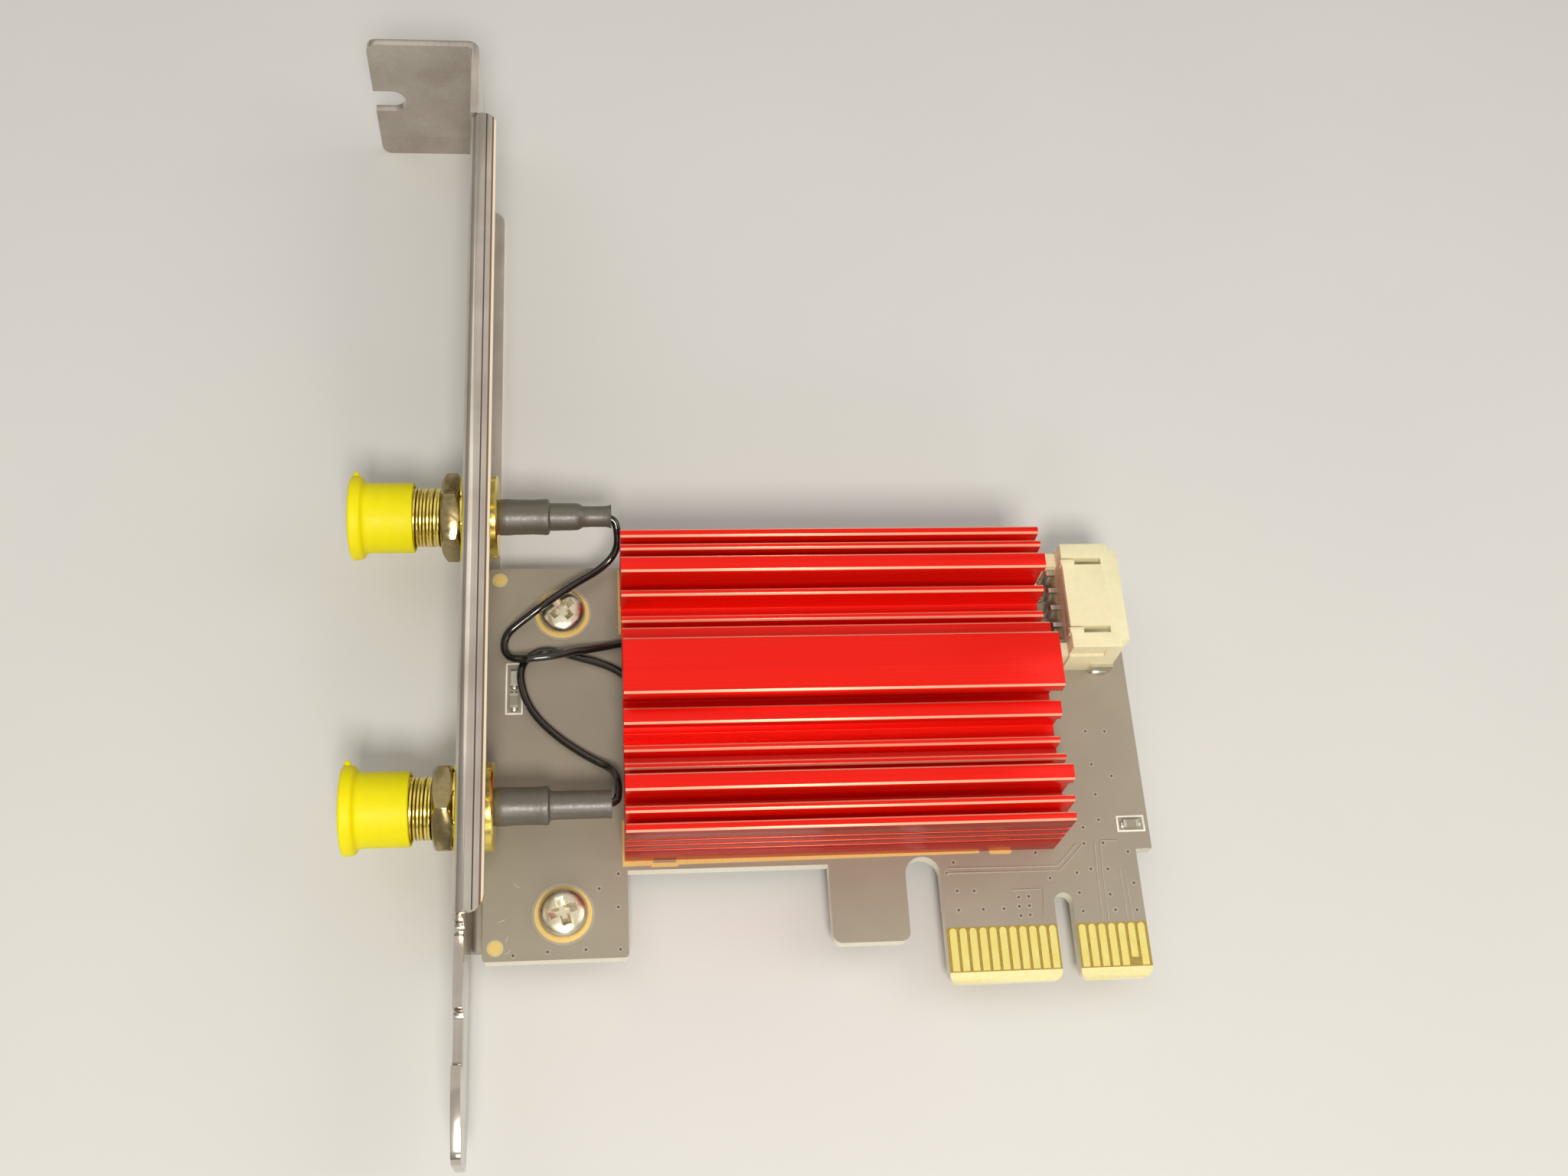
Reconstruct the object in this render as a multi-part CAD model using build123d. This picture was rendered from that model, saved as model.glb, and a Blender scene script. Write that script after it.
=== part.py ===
from build123d import *
import math
import os

# Wireless network card for a one-lane expansion slot, lying component side up.
# X runs from the bracket along the card, Y from the contact edge to the bracket's tab, Z out of
# the component side. The origin is where the key notch's centreline meets the contact edge, on
# the component side of the board. All sizes are millimetres.

# Circuit board outline
BOARD_THICK = 1.6
BOARD_LEFT = 57.15          # key centreline to the edge beside the bracket
BOARD_TOP = 45.2            # contact edge to the upper edge
BOARD_CORNER_R = 0.4
FOOT_CORNER_R = 0.9         # rounder corners of hook and tongue
BLOCK_WIDTH = 13.95         # block of board that the bracket is screwed to
BLOCK_FOOT = 3.65
WINDOW_TOP = 12.2           # upper edge of the cut-out between block and hook
HOOK_LEFT = 23.35           # retention hook, left of the key centreline
HOOK_WIDTH = 7.65
HOOK_FOOT = 4.3
HOOK_SLOT_TOP = 12.7
STEP_FOOT = 12.9            # lower end of the far edge, above the contact tongue
KEY_WIDTH = 1.9
KEY_TOP = 8.6
BEVEL_RUN = 1.0             # lead-in bevel on the contact edge
BEVEL_DEPTH = 0.45

# Gold edge contacts
CONTACT_PITCH = 1.0
CONTACT_WIDTH = 0.7
LONG_ROW = 11               # contacts between hook and key
SHORT_ROW = 7               # contacts past the key
KEY_TO_CONTACT = 1.5
CONTACT_MARGIN = 0.65       # last contact's centre to the tongue's side
CONTACT_FOOT = 1.12
CONTACT_TOP = 5.35
CONTACT_SHORT_BY = 0.8      # the presence contacts stop this much further from the edge
PLATING = 0.05              # copper and gold above the board's face

# Bracket, folded from one sheet
BRACKET_LENGTH = 120.02
BRACKET_WIDTH = 18.42
SHEET = 0.86
BEND_INSIDE_R = 0.5
BRACKET_GAP = 1.0           # board edge to the plate's inner face
BRACKET_RISE = 14.1         # component side to the bracket's upper edge
BRACKET_TOP = 104.42        # contact edge to the tab's outer face
FLANGE_DEPTH = 2.85         # outer face of the plate to the flanges' free edges
FLANGE_TOP = 94.2
FLANGE_FOOT = 5.0
FLANGE_CORNER_R = 1.5
TAB_REACH = 11.75           # outer face of the plate to the tab's end
TAB_CORNER_R = 1.2
TAB_NOTCH_WIDTH = 3.3
TAB_NOTCH_DEPTH = 3.6
TONGUE_WIDTH = 10.19
TONGUE_TIP_WIDTH = 6.8
TONGUE_TAPER = 5.5          # length over which the tongue narrows to its tip
TONGUE_CORNER_R = 1.6
TONGUE_RELIEF_R = 0.6       # round relief where the tongue leaves the flanges
TONGUE_NOTCH_TOP = -2.6     # shallow notch in the tongue's upper side
TONGUE_NOTCH_FOOT = -7.6
TONGUE_NOTCH_DEPTH = 1.6
EAR_WIDTH = 9.0
EAR_MARGIN = 3.4            # screw axis to the ear's free end
EAR_RELIEF = 0.8            # slot cut each side of an ear before it is folded

# Bracket screws
SCREW_INSET = 7.7           # board edge to the screws' axes
SCREW_LOW = 8.05
SCREW_HIGH = 39.96
SCREW_SHANK_R = 1.25
SCREW_HEAD_R = 2.4
SCREW_HEAD_HEIGHT = 1.5
SCREW_PAST_EAR = 0.9
RECESS_WIDTH = 0.7          # cross recess in the heads
RECESS_SPAN = 3.0
RECESS_DEPTH = 0.8
SCREW_TURN_LOW = 18.0       # degrees each cross stopped at when it was tightened
SCREW_TURN_HIGH = 40.0
HEAD_DOME = 0.7             # share of a head's height that is rounded
RING_R = 3.0                # gold ring under each head
HOLE_CLEARANCE = 0.1        # radial, round every screw and jack

# Test pads and ground plating
TEST_PAD_R = 0.6
TEST_PAD_INSET = 1.22
TEST_PAD_FROM_END = 1.3
GROUND_PAD_WIDTH = 7.4      # the upper band is wider at its near end
GROUND_PAD_LENGTH = 4.0
GROUND_PAST_END = 0.2
GROUND_PROUD_NEAR = 0.5     # strip of gold that shows in front of the heatsink, at its near end
GROUND_PROUD_FAR = 0.2      # and at its far end
GROUND_END_GAP = 7.7        # strip stops this far short of the heatsink's far end
GROUND_SLOT_LENGTH = 2.3
GROUND_SLOT_WIDTH = 0.22
GROUND_SLOT_FROM_END = 4.1
GROUND_SLOT_PAD_LENGTH = 2.7
GROUND_SLOT_PAD_PROUD = 0.65
OVAL_PAD_LENGTH = 2.3
OVAL_PAD_GAP = 1.0
OVAL_PAD_PROUD = 0.35
OVAL_PAD_CORNER_R = 0.3

# Heatsink, an extruded profile with two solid rails and fins of different heights
HEATSINK_LEFT = 43.45       # key centreline to the near end
HEATSINK_LENGTH = 43.15
HEATSINK_WIDTH = 31.8
HEATSINK_MID = 29.0         # contact edge to the profile's middle
TUNNEL_HEIGHT = 4.25        # room under the base for the radio module
BASE_THICK = 1.3
WALL_THICK = 0.9
WALL_TOP = 9.6
WALL_GROOVES = 3
WALL_GROOVE_WIDTH = 0.35
WALL_GROOVE_DEPTH = 0.2
WALL_GROOVE_PITCH = 1.55
WALL_GROOVE_DROP = 2.55     # wall top to the first groove
BAND_WIDTH = 5.84           # flat band along the middle
BAND_TOP = 11.95
BAND_THICK = 1.5
BAND_STEM = 2.6
FIN_THICK = 0.72
FINS = ((6.85, 7.55), (9.13, 8.85), (13.75, 9.9))      # distance from the middle, top
TEE_WIDTH = 1.72            # fins with a wide head
TEE_HEAD = 1.1
TEE_STEM = 0.9
TEES = ((4.24, 9.45), (11.38, 10.85))                  # distance from the middle, top
TIP_CHAMFER = 0.2
RAIL_SCREW_INSET = 5.0      # heatsink's ends to its screws
RAIL_SCREW_SHANK_R = 0.95
RAIL_SCREW_HEAD_R = 1.9
RAIL_SCREW_HEAD_HEIGHT = 1.2
RAIL_SCREW_DEPTH = 3.4      # thread inside the rail

# Radio module in its socket under the heatsink
MODULE_LENGTH = 30.0
MODULE_WIDTH = 22.0
MODULE_SIDE_GAP = 0.7       # module's sides to the heatsink's rails
MODULE_THICK = 0.8
MODULE_LIFT = 1.35          # component side to the module's underside
MODULE_INSERT = 4.0
MODULE_NOTCH_R = 1.75
SOCKET_LENGTH = 21.9
SOCKET_DEPTH = 8.5
SOCKET_HEIGHT = 3.2
SOCKET_FROM_END = 1.6       # heatsink's far end to the socket
SOCKET_FIT = 0.05
TERMINAL_PITCH = 0.5
TERMINALS = 34
TERMINAL_WIDTH = 0.22
TERMINAL_REACH = 0.8
TERMINAL_THICK = 0.2
SHIELD_LENGTH = 20.0
SHIELD_WIDTH = 18.0
SHIELD_HEIGHT = 1.6
SHIELD_FROM_SOCKET = 1.2
SHIELD_CORNER_R = 0.8
PAD_MARGIN = 1.0            # thermal pad inside the shield's outline
STANDOFF_R = 2.1
MODULE_SCREW_R = 0.9
MODULE_SCREW_HEAD_R = 2.2
MODULE_SCREW_HEAD = 0.6

# Antenna jacks
JACK_HIGH = 48.8            # contact edge to each jack's axis
JACK_LOW = 17.45
THREAD_R = 3.175
JACK_REACH = 9.9            # plate's outer face to the jack's mouth
JACK_FLANGE_R = 4.3
JACK_FLANGE_THICK = 2.3
JACK_BORE_R = 2.3
JACK_BORE_DEPTH = 7.0
INSULATOR_RECESS = 2.0
CONTACT_PIN_R = 0.46
CONTACT_PIN_RECESS = 1.1
CRIMP_R = 1.35
CRIMP_LENGTH = 5.1
TAIL_R = 0.95
TAIL_LENGTH = 5.05          # crimped tail that the lead leaves
NUT_FLATS = 8.0
NUT_THICK = 2.0
NUT_CHAMFER = 0.47          # depth of the chamfer at the nut's corners
NUT_FACE_INSET = 0.1        # flats to the rim of each face
NUT_TURN_HIGH = 27.0        # degrees each nut stopped at when it was tightened
NUT_TURN_LOW = 48.0
WASHER_R = 4.35
WASHER_THICK = 0.5
WASHER_TEETH = 10
WASHER_TOOTH_DEPTH = 0.45
WASHER_TOOTH_WIDTH = 0.5

# Shrink sleeves and coaxial leads
SLEEVE_R = 1.9
SLEEVE_TAIL_R = 1.4
SLEEVE_WALL_END = 0.2       # the wide part stops this far past the crimp
SLEEVE_TAIL_HIGH = 6.3      # narrow part of each sleeve
SLEEVE_TAIL_LOW = 5.9
LEAD_R = 0.405
LEAD_AT_PLUG = 1.2          # straight run into each plug
ARC_SHARE = 0.45            # share of the shorter run that each bend takes
SLEEVE_FIT = 0.2            # radial, where the lead starts to bend in the sleeve's end
PLUG_R = 1.0
PLUG_HEIGHT = 1.2
PLUG_INSET = 1.8            # module's end to the plugs' centres
PLUG_SPREAD = 7.5           # module's middle to each plug
PLUG_BARREL_R = 0.55
PLUG_BARREL = 1.8           # plug centre to the barrel's mouth

# Dust caps
CAP_BODY_R = 3.62
CAP_LIP_R = 4.35
CAP_LIP_INNER_R = 4.2
CAP_LIP_THICK = 1.45
CAP_LENGTH = 6.4
CAP_END_WALL = 0.9
CAP_FIT = 0.08
CAP_EDGE_R = 0.35
CAP_NUB_R = 0.38            # small moulding nub on the lip
CAP_NUB_PROUD = 0.45
CAP_NUB_INSET = 0.1         # closed end to the nub
CAP_NUB_TURN = 65.0         # degrees from straight up towards the tab
CAP_SEAT_HIGH = 0.94        # jack's mouth to the inside of each cap's end wall
CAP_SEAT_LOW = 0.29

# Five-way side-entry header
HEADER_GAP = 3.3            # heatsink's far end to the back of the housing
HEADER_SETBACK = 0.8        # front of the housing to the board's far edge
HEADER_DEPTH = 6.05
HEADER_WIDTH = 11.9
HEADER_HEIGHT = 5.5
HEADER_MID = 38.8
HEADER_SIDE_WALL = 0.55
HEADER_ROOF = 0.95
HEADER_FLOOR = 1.0
HEADER_BACK = 1.3
HEADER_NOSE = 0.9           # narrower front of the housing
HEADER_NOSE_STEP = 0.8
HEADER_LEDGE = 0.3          # the lower half of each side stands out this far
HEADER_LEDGE_HEIGHT = 3.7
HEADER_LUG_LENGTH = 1.5     # sloped lug on each ledge, behind the nose
HEADER_LUG_TOP = 5.1
HEADER_WAYS = 5
HEADER_PITCH = 2.0
HEADER_SLOT_SPACING = 7.84
HEADER_SLOT_LENGTH = 2.9
HEADER_SLOT_WIDTH = 0.75
HEADER_SLOT_INSET = 1.3
HEADER_RIB_PROUD = 0.15
HEADER_ARM_LENGTH = 1.4
HEADER_ARM_WIDTH = 1.5
HEADER_ARM_HEIGHT = 3.2
PIN_WIDTH = 0.5
PIN_HEIGHT = 2.2
PIN_TAIL = 0.9              # back of the housing to the pins' bends
PIN_FOOT = 1.0
PIN_BEND_R = 0.4
PIN_IN_MOUTH = 3.6
HEADER_TAB_LENGTH = 2.4
HEADER_TAB_WIDTH = 0.35
HEADER_TAB_HEIGHT = 1.6

# Chip parts
CHIP_LENGTH = 1.6
CHIP_WIDTH = 0.8
CHIP_HEIGHT = 0.45
CHIP_END = 0.3
LED_HEIGHT = 0.6
LED_BASE = 0.25
LED_CHAMFER = 0.1
CHIP_COLUMN = 2.8           # board edge to the light and its resistor
LED_AT = 32.6
LED_RESISTOR_AT = 30.15
FAR_RESISTOR_INSET = 1.9
FAR_RESISTOR_AT = 15.43

# Places worked out from the sizes above
BOARD_UNDER = -BOARD_THICK
TONGUE_LEFT = -(KEY_TO_CONTACT + (LONG_ROW - 1) * CONTACT_PITCH + CONTACT_MARGIN)
TONGUE_RIGHT = KEY_TO_CONTACT + (SHORT_ROW - 1) * CONTACT_PITCH + CONTACT_MARGIN
HOOK_RIGHT = -HOOK_LEFT + HOOK_WIDTH
PLATE_IN = -BOARD_LEFT - BRACKET_GAP
PLATE_OUT = PLATE_IN - SHEET
BRACKET_HIGH = BRACKET_RISE
BRACKET_LOW = BRACKET_RISE - BRACKET_WIDTH
BRACKET_MID = (BRACKET_HIGH + BRACKET_LOW) / 2
BEND_OUTSIDE_R = BEND_INSIDE_R + SHEET
SCREW_X = -BOARD_LEFT + SCREW_INSET
EAR_END = SCREW_X + EAR_MARGIN
HEATSINK_NEAR = -HEATSINK_LEFT
HEATSINK_FAR = -HEATSINK_LEFT + HEATSINK_LENGTH
HALF_HEATSINK = HEATSINK_WIDTH / 2
BASE_UNDER = PLATING + TUNNEL_HEIGHT
FLOOR = BASE_UNDER + BASE_THICK
RAIL_WIDTH = HALF_HEATSINK - MODULE_WIDTH / 2 - MODULE_SIDE_GAP
RAIL_MID = HALF_HEATSINK - RAIL_WIDTH / 2
RAIL_SCREWS = [(x, HEATSINK_MID + side * RAIL_MID)
               for x in (HEATSINK_NEAR + RAIL_SCREW_INSET, HEATSINK_FAR - RAIL_SCREW_INSET)
               for side in (-1, 1)]
SOCKET_FAR = HEATSINK_FAR - SOCKET_FROM_END
SOCKET_NEAR = SOCKET_FAR - SOCKET_DEPTH
MODULE_FAR = SOCKET_NEAR + MODULE_INSERT
MODULE_NEAR = MODULE_FAR - MODULE_LENGTH
MODULE_TOP = MODULE_LIFT + MODULE_THICK
SHIELD_FAR = SOCKET_NEAR - SHIELD_FROM_SOCKET
SHIELD_TOP = MODULE_TOP + SHIELD_HEIGHT
PLUG_X = MODULE_NEAR + PLUG_INSET
PLUG_AXIS = MODULE_TOP + PLUG_HEIGHT / 2
JACK_Z = BRACKET_MID
JACK_MOUTH = PLATE_OUT - JACK_REACH
FLANGE_BACK = PLATE_IN + JACK_FLANGE_THICK
CRIMP_END = FLANGE_BACK + CRIMP_LENGTH
SLEEVE_STEP = CRIMP_END + SLEEVE_WALL_END
LEAD_START = CRIMP_END + TAIL_LENGTH
HEADER_LEFT = HEATSINK_FAR + HEADER_GAP
HEADER_FRONT = HEADER_LEFT + HEADER_DEPTH
BOARD_RIGHT = HEADER_FRONT + HEADER_SETBACK
SAME_PLACE = 1e-4           # points closer than this are one corner

# Routes of the two leads from the jacks over the board to the plugs
PLUG_MOUTH = PLUG_X - PLUG_BARREL
PLUG_HIGH = HEATSINK_MID + PLUG_SPREAD
PLUG_LOW = HEATSINK_MID - PLUG_SPREAD
HIGH_LEAD = [(LEAD_START, JACK_HIGH, JACK_Z), (-43.95, JACK_HIGH, JACK_Z), (-43.6, 47.3, 4.0),
             (-43.65, 46.3, 2.7), (-44.3, 45.4, 1.75), (-45.75, 44.2, 1.3), (-47.8, 42.75, 1.75),
             (-49.75, 41.2, 2.1), (-51.7, 39.8, 1.9), (-53.6, 38.6, 1.1), (-55.15, 37.5, 0.52),
             (-55.47, 35.9, 0.5), (-54.85, 34.68, 0.85), (-53.77, 34.22, 1.5), (-52.2, 34.25, 1.72),
             (-50.4, 34.45, 1.7), (-48.4, 34.95, 1.5), (-46.6, 35.45, 0.95), (-44.8, 35.92, 0.52),
             (-42.9, 36.35, 0.47), (-40.9, 36.6, 0.85), (-39.1, 36.55, 1.85),
             (PLUG_MOUTH - LEAD_AT_PLUG, PLUG_HIGH, PLUG_AXIS), (PLUG_MOUTH, PLUG_HIGH, PLUG_AXIS)]
LOW_LEAD = [(LEAD_START, JACK_LOW, JACK_Z), (-44.2, JACK_LOW, JACK_Z), (-43.98, 18.85, 4.45),
            (-44.05, 20.1, 3.45), (-44.2, 21.3, 2.2), (-44.75, 22.5, 1.05), (-46.2, 23.45, 0.5),
            (-48.05, 24.65, 0.44), (-49.95, 26.1, 0.45), (-51.7, 27.8, 0.46), (-53.0, 29.7, 0.6),
            (-53.6, 31.6, 0.95), (-53.7, 33.2, 0.9), (-53.1, 34.75, 0.46), (-51.7, 35.6, 0.44),
            (-50.0, 35.5, 0.45), (-48.1, 34.85, 0.44), (-46.1, 34.25, 0.45), (-44.2, 33.5, 0.44),
            (-42.5, 32.2, 0.45), (-41.4, 30.2, 0.44), (-40.9, 27.8, 0.5), (-40.4, 25.4, 0.85),
            (-39.7, 23.5, 1.55), (-38.8, 22.1, 2.4), (PLUG_MOUTH - LEAD_AT_PLUG, PLUG_LOW, PLUG_AXIS),
            (PLUG_MOUTH, PLUG_LOW, PLUG_AXIS)]


def block(x0, x1, y0, y1, z0, z1):
    return Pos((x0 + x1) / 2, (y0 + y1) / 2, (z0 + z1) / 2) * Box(x1 - x0, y1 - y0, z1 - z0)


def disc(x, y, z0, z1, radius):
    return Pos(x, y, (z0 + z1) / 2) * Cylinder(radius, z1 - z0)


def rod(x0, x1, y, z, radius):
    return Pos((x0 + x1) / 2, y, z) * Rot(0, 90, 0) * Cylinder(radius, x1 - x0)


def area(x0, x1, y0, y1):
    return Pos((x0 + x1) / 2, (y0 + y1) / 2) * Rectangle(x1 - x0, y1 - y0)


def corners_at(sketch, places):
    """The sketch's corners that stand at the given places."""
    return [v for v in sketch.vertices() for p in places if math.dist((v.X, v.Y), p) < SAME_PLACE]


# Circuit board

def circuit_board():
    left, right = -BOARD_LEFT, BOARD_RIGHT
    block_right = left + BLOCK_WIDTH
    slot_r = (TONGUE_LEFT - HOOK_RIGHT) / 2
    slot_spring = HOOK_SLOT_TOP - slot_r
    outline = make_face(Polyline(
        (left, BLOCK_FOOT), (block_right, BLOCK_FOOT), (block_right, WINDOW_TOP),
        (-HOOK_LEFT, WINDOW_TOP), (-HOOK_LEFT, HOOK_FOOT), (HOOK_RIGHT, HOOK_FOOT),
        (HOOK_RIGHT, slot_spring), (TONGUE_LEFT, slot_spring), (TONGUE_LEFT, 0), (TONGUE_RIGHT, 0),
        (TONGUE_RIGHT, STEP_FOOT), (right, STEP_FOOT), (right, BOARD_TOP), (left, BOARD_TOP), close=True))
    feet = [(-HOOK_LEFT, HOOK_FOOT), (HOOK_RIGHT, HOOK_FOOT), (TONGUE_LEFT, 0), (TONGUE_RIGHT, 0)]
    outline = fillet(corners_at(outline, feet), FOOT_CORNER_R)
    corners = [(left, BLOCK_FOOT), (block_right, BLOCK_FOOT), (right, BOARD_TOP), (left, BOARD_TOP)]
    outline = fillet(corners_at(outline, corners), BOARD_CORNER_R)
    outline -= Pos((TONGUE_LEFT + HOOK_RIGHT) / 2, slot_spring) * Circle(slot_r)
    key_spring = KEY_TOP - KEY_WIDTH / 2
    outline -= area(-KEY_WIDTH / 2, KEY_WIDTH / 2, -FOOT_CORNER_R, key_spring)
    outline -= Pos(0, key_spring) * Circle(KEY_WIDTH / 2)
    for y in (SCREW_LOW, SCREW_HIGH):
        outline -= Pos(SCREW_X, y) * Circle(SCREW_SHANK_R + HOLE_CLEARANCE)
    for x, y in RAIL_SCREWS:
        outline -= Pos(x, y) * Circle(RAIL_SCREW_SHANK_R + HOLE_CLEARANCE)
    board = extrude(outline, -BOARD_THICK)
    past = FOOT_CORNER_R
    wedge = Plane.YZ.offset(TONGUE_LEFT - past) * make_face(Polyline(
        (BEVEL_RUN, 0), (0, -BEVEL_DEPTH), (-past, -BEVEL_DEPTH), (-past, past), (BEVEL_RUN, past),
        close=True))
    bevel = extrude(wedge, TONGUE_RIGHT - TONGUE_LEFT + 2 * past)
    return board - bevel - mirror(bevel, Plane.XY.offset(-BOARD_THICK / 2))


def edge_contacts():
    """Pads with a round upper end, on both faces. One presence pad on each face is short."""
    columns = [-KEY_TO_CONTACT - (LONG_ROW - 1 - k) * CONTACT_PITCH for k in range(LONG_ROW)]
    columns += [KEY_TO_CONTACT + k * CONTACT_PITCH for k in range(SHORT_ROW)]
    half = CONTACT_WIDTH / 2
    pads = []
    for z, short in ((0, len(columns) - 2), (BOARD_UNDER - PLATING, 0)):
        for k, x in enumerate(columns):
            foot = CONTACT_FOOT + (CONTACT_SHORT_BY if k == short else 0)
            shape = area(x - half, x + half, foot, CONTACT_TOP - half)
            shape += Pos(x, CONTACT_TOP - half) * Circle(half)
            pads.append(extrude(Pos(0, 0, z) * shape, PLATING))
    return pads


def ground_plating():
    """Bare gold areas: bands under the rails, rings under the bracket screws and two test pads."""
    near, far = HEATSINK_NEAR - GROUND_PAST_END, HEATSINK_FAR - GROUND_END_GAP
    wall_low, wall_high = HEATSINK_MID - HALF_HEATSINK, HEATSINK_MID + HALF_HEATSINK
    low_band = make_face(Polyline(
        (near, wall_low - GROUND_PROUD_NEAR), (far, wall_low - GROUND_PROUD_FAR),
        (far, wall_low + RAIL_WIDTH), (near, wall_low + RAIL_WIDTH), close=True))
    slot_mid = near + GROUND_SLOT_FROM_END
    half_pad = GROUND_SLOT_PAD_LENGTH / 2
    low_band += area(slot_mid - half_pad, slot_mid + half_pad, wall_low - GROUND_SLOT_PAD_PROUD, wall_low)
    slot_line = wall_low - GROUND_SLOT_WIDTH / 2
    low_band -= Pos(slot_mid, slot_line) * SlotOverall(GROUND_SLOT_LENGTH, GROUND_SLOT_WIDTH)
    high_band = area(near, HEATSINK_FAR, wall_high - RAIL_WIDTH, wall_high)
    high_band += area(near, near + GROUND_PAD_LENGTH, wall_high - GROUND_PAD_WIDTH, wall_high)
    oval_near = far + OVAL_PAD_GAP
    oval_far = oval_near + OVAL_PAD_LENGTH
    oval = area(oval_near, oval_far, wall_low - OVAL_PAD_PROUD, wall_low + OVAL_PAD_PROUD)
    oval = fillet(oval.vertices(), OVAL_PAD_CORNER_R)
    for x, y in RAIL_SCREWS:
        hole = Pos(x, y) * Circle(RAIL_SCREW_SHANK_R + HOLE_CLEARANCE)
        low_band -= hole
        high_band -= hole
        oval -= hole
    shapes = [low_band, high_band, oval]
    for y in (SCREW_LOW, SCREW_HIGH):
        shapes.append(Pos(SCREW_X, y) * (Circle(RING_R) - Circle(SCREW_SHANK_R + HOLE_CLEARANCE)))
    pad_x = -BOARD_LEFT + TEST_PAD_INSET
    for y in (BLOCK_FOOT + TEST_PAD_FROM_END, BOARD_TOP - TEST_PAD_FROM_END):
        shapes.append(Pos(pad_x, y) * Circle(TEST_PAD_R))
    return [extrude(shape, PLATING) for shape in shapes]


# Bracket

def channel_profile():
    """Section of the plate and its two flanges, in X and Z."""
    outer = area(PLATE_OUT, PLATE_OUT + FLANGE_DEPTH, BRACKET_LOW, BRACKET_HIGH)
    outside = [(PLATE_OUT, BRACKET_LOW), (PLATE_OUT, BRACKET_HIGH)]
    outer = fillet(corners_at(outer, outside), BEND_OUTSIDE_R)
    past = PLATE_OUT + FLANGE_DEPTH + SHEET
    inner = area(PLATE_IN, past, BRACKET_LOW + SHEET, BRACKET_HIGH - SHEET)
    inside = [(PLATE_IN, BRACKET_LOW + SHEET), (PLATE_IN, BRACKET_HIGH - SHEET)]
    return outer - fillet(corners_at(inner, inside), BEND_INSIDE_R)


def along_y(sketch, y0, y1):
    """Extrudes a section drawn in X and Z from y0 to y1."""
    return extrude(Plane((0, y0, 0), x_dir=(1, 0, 0), z_dir=(0, -1, 0)) * sketch, y0 - y1)


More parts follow.
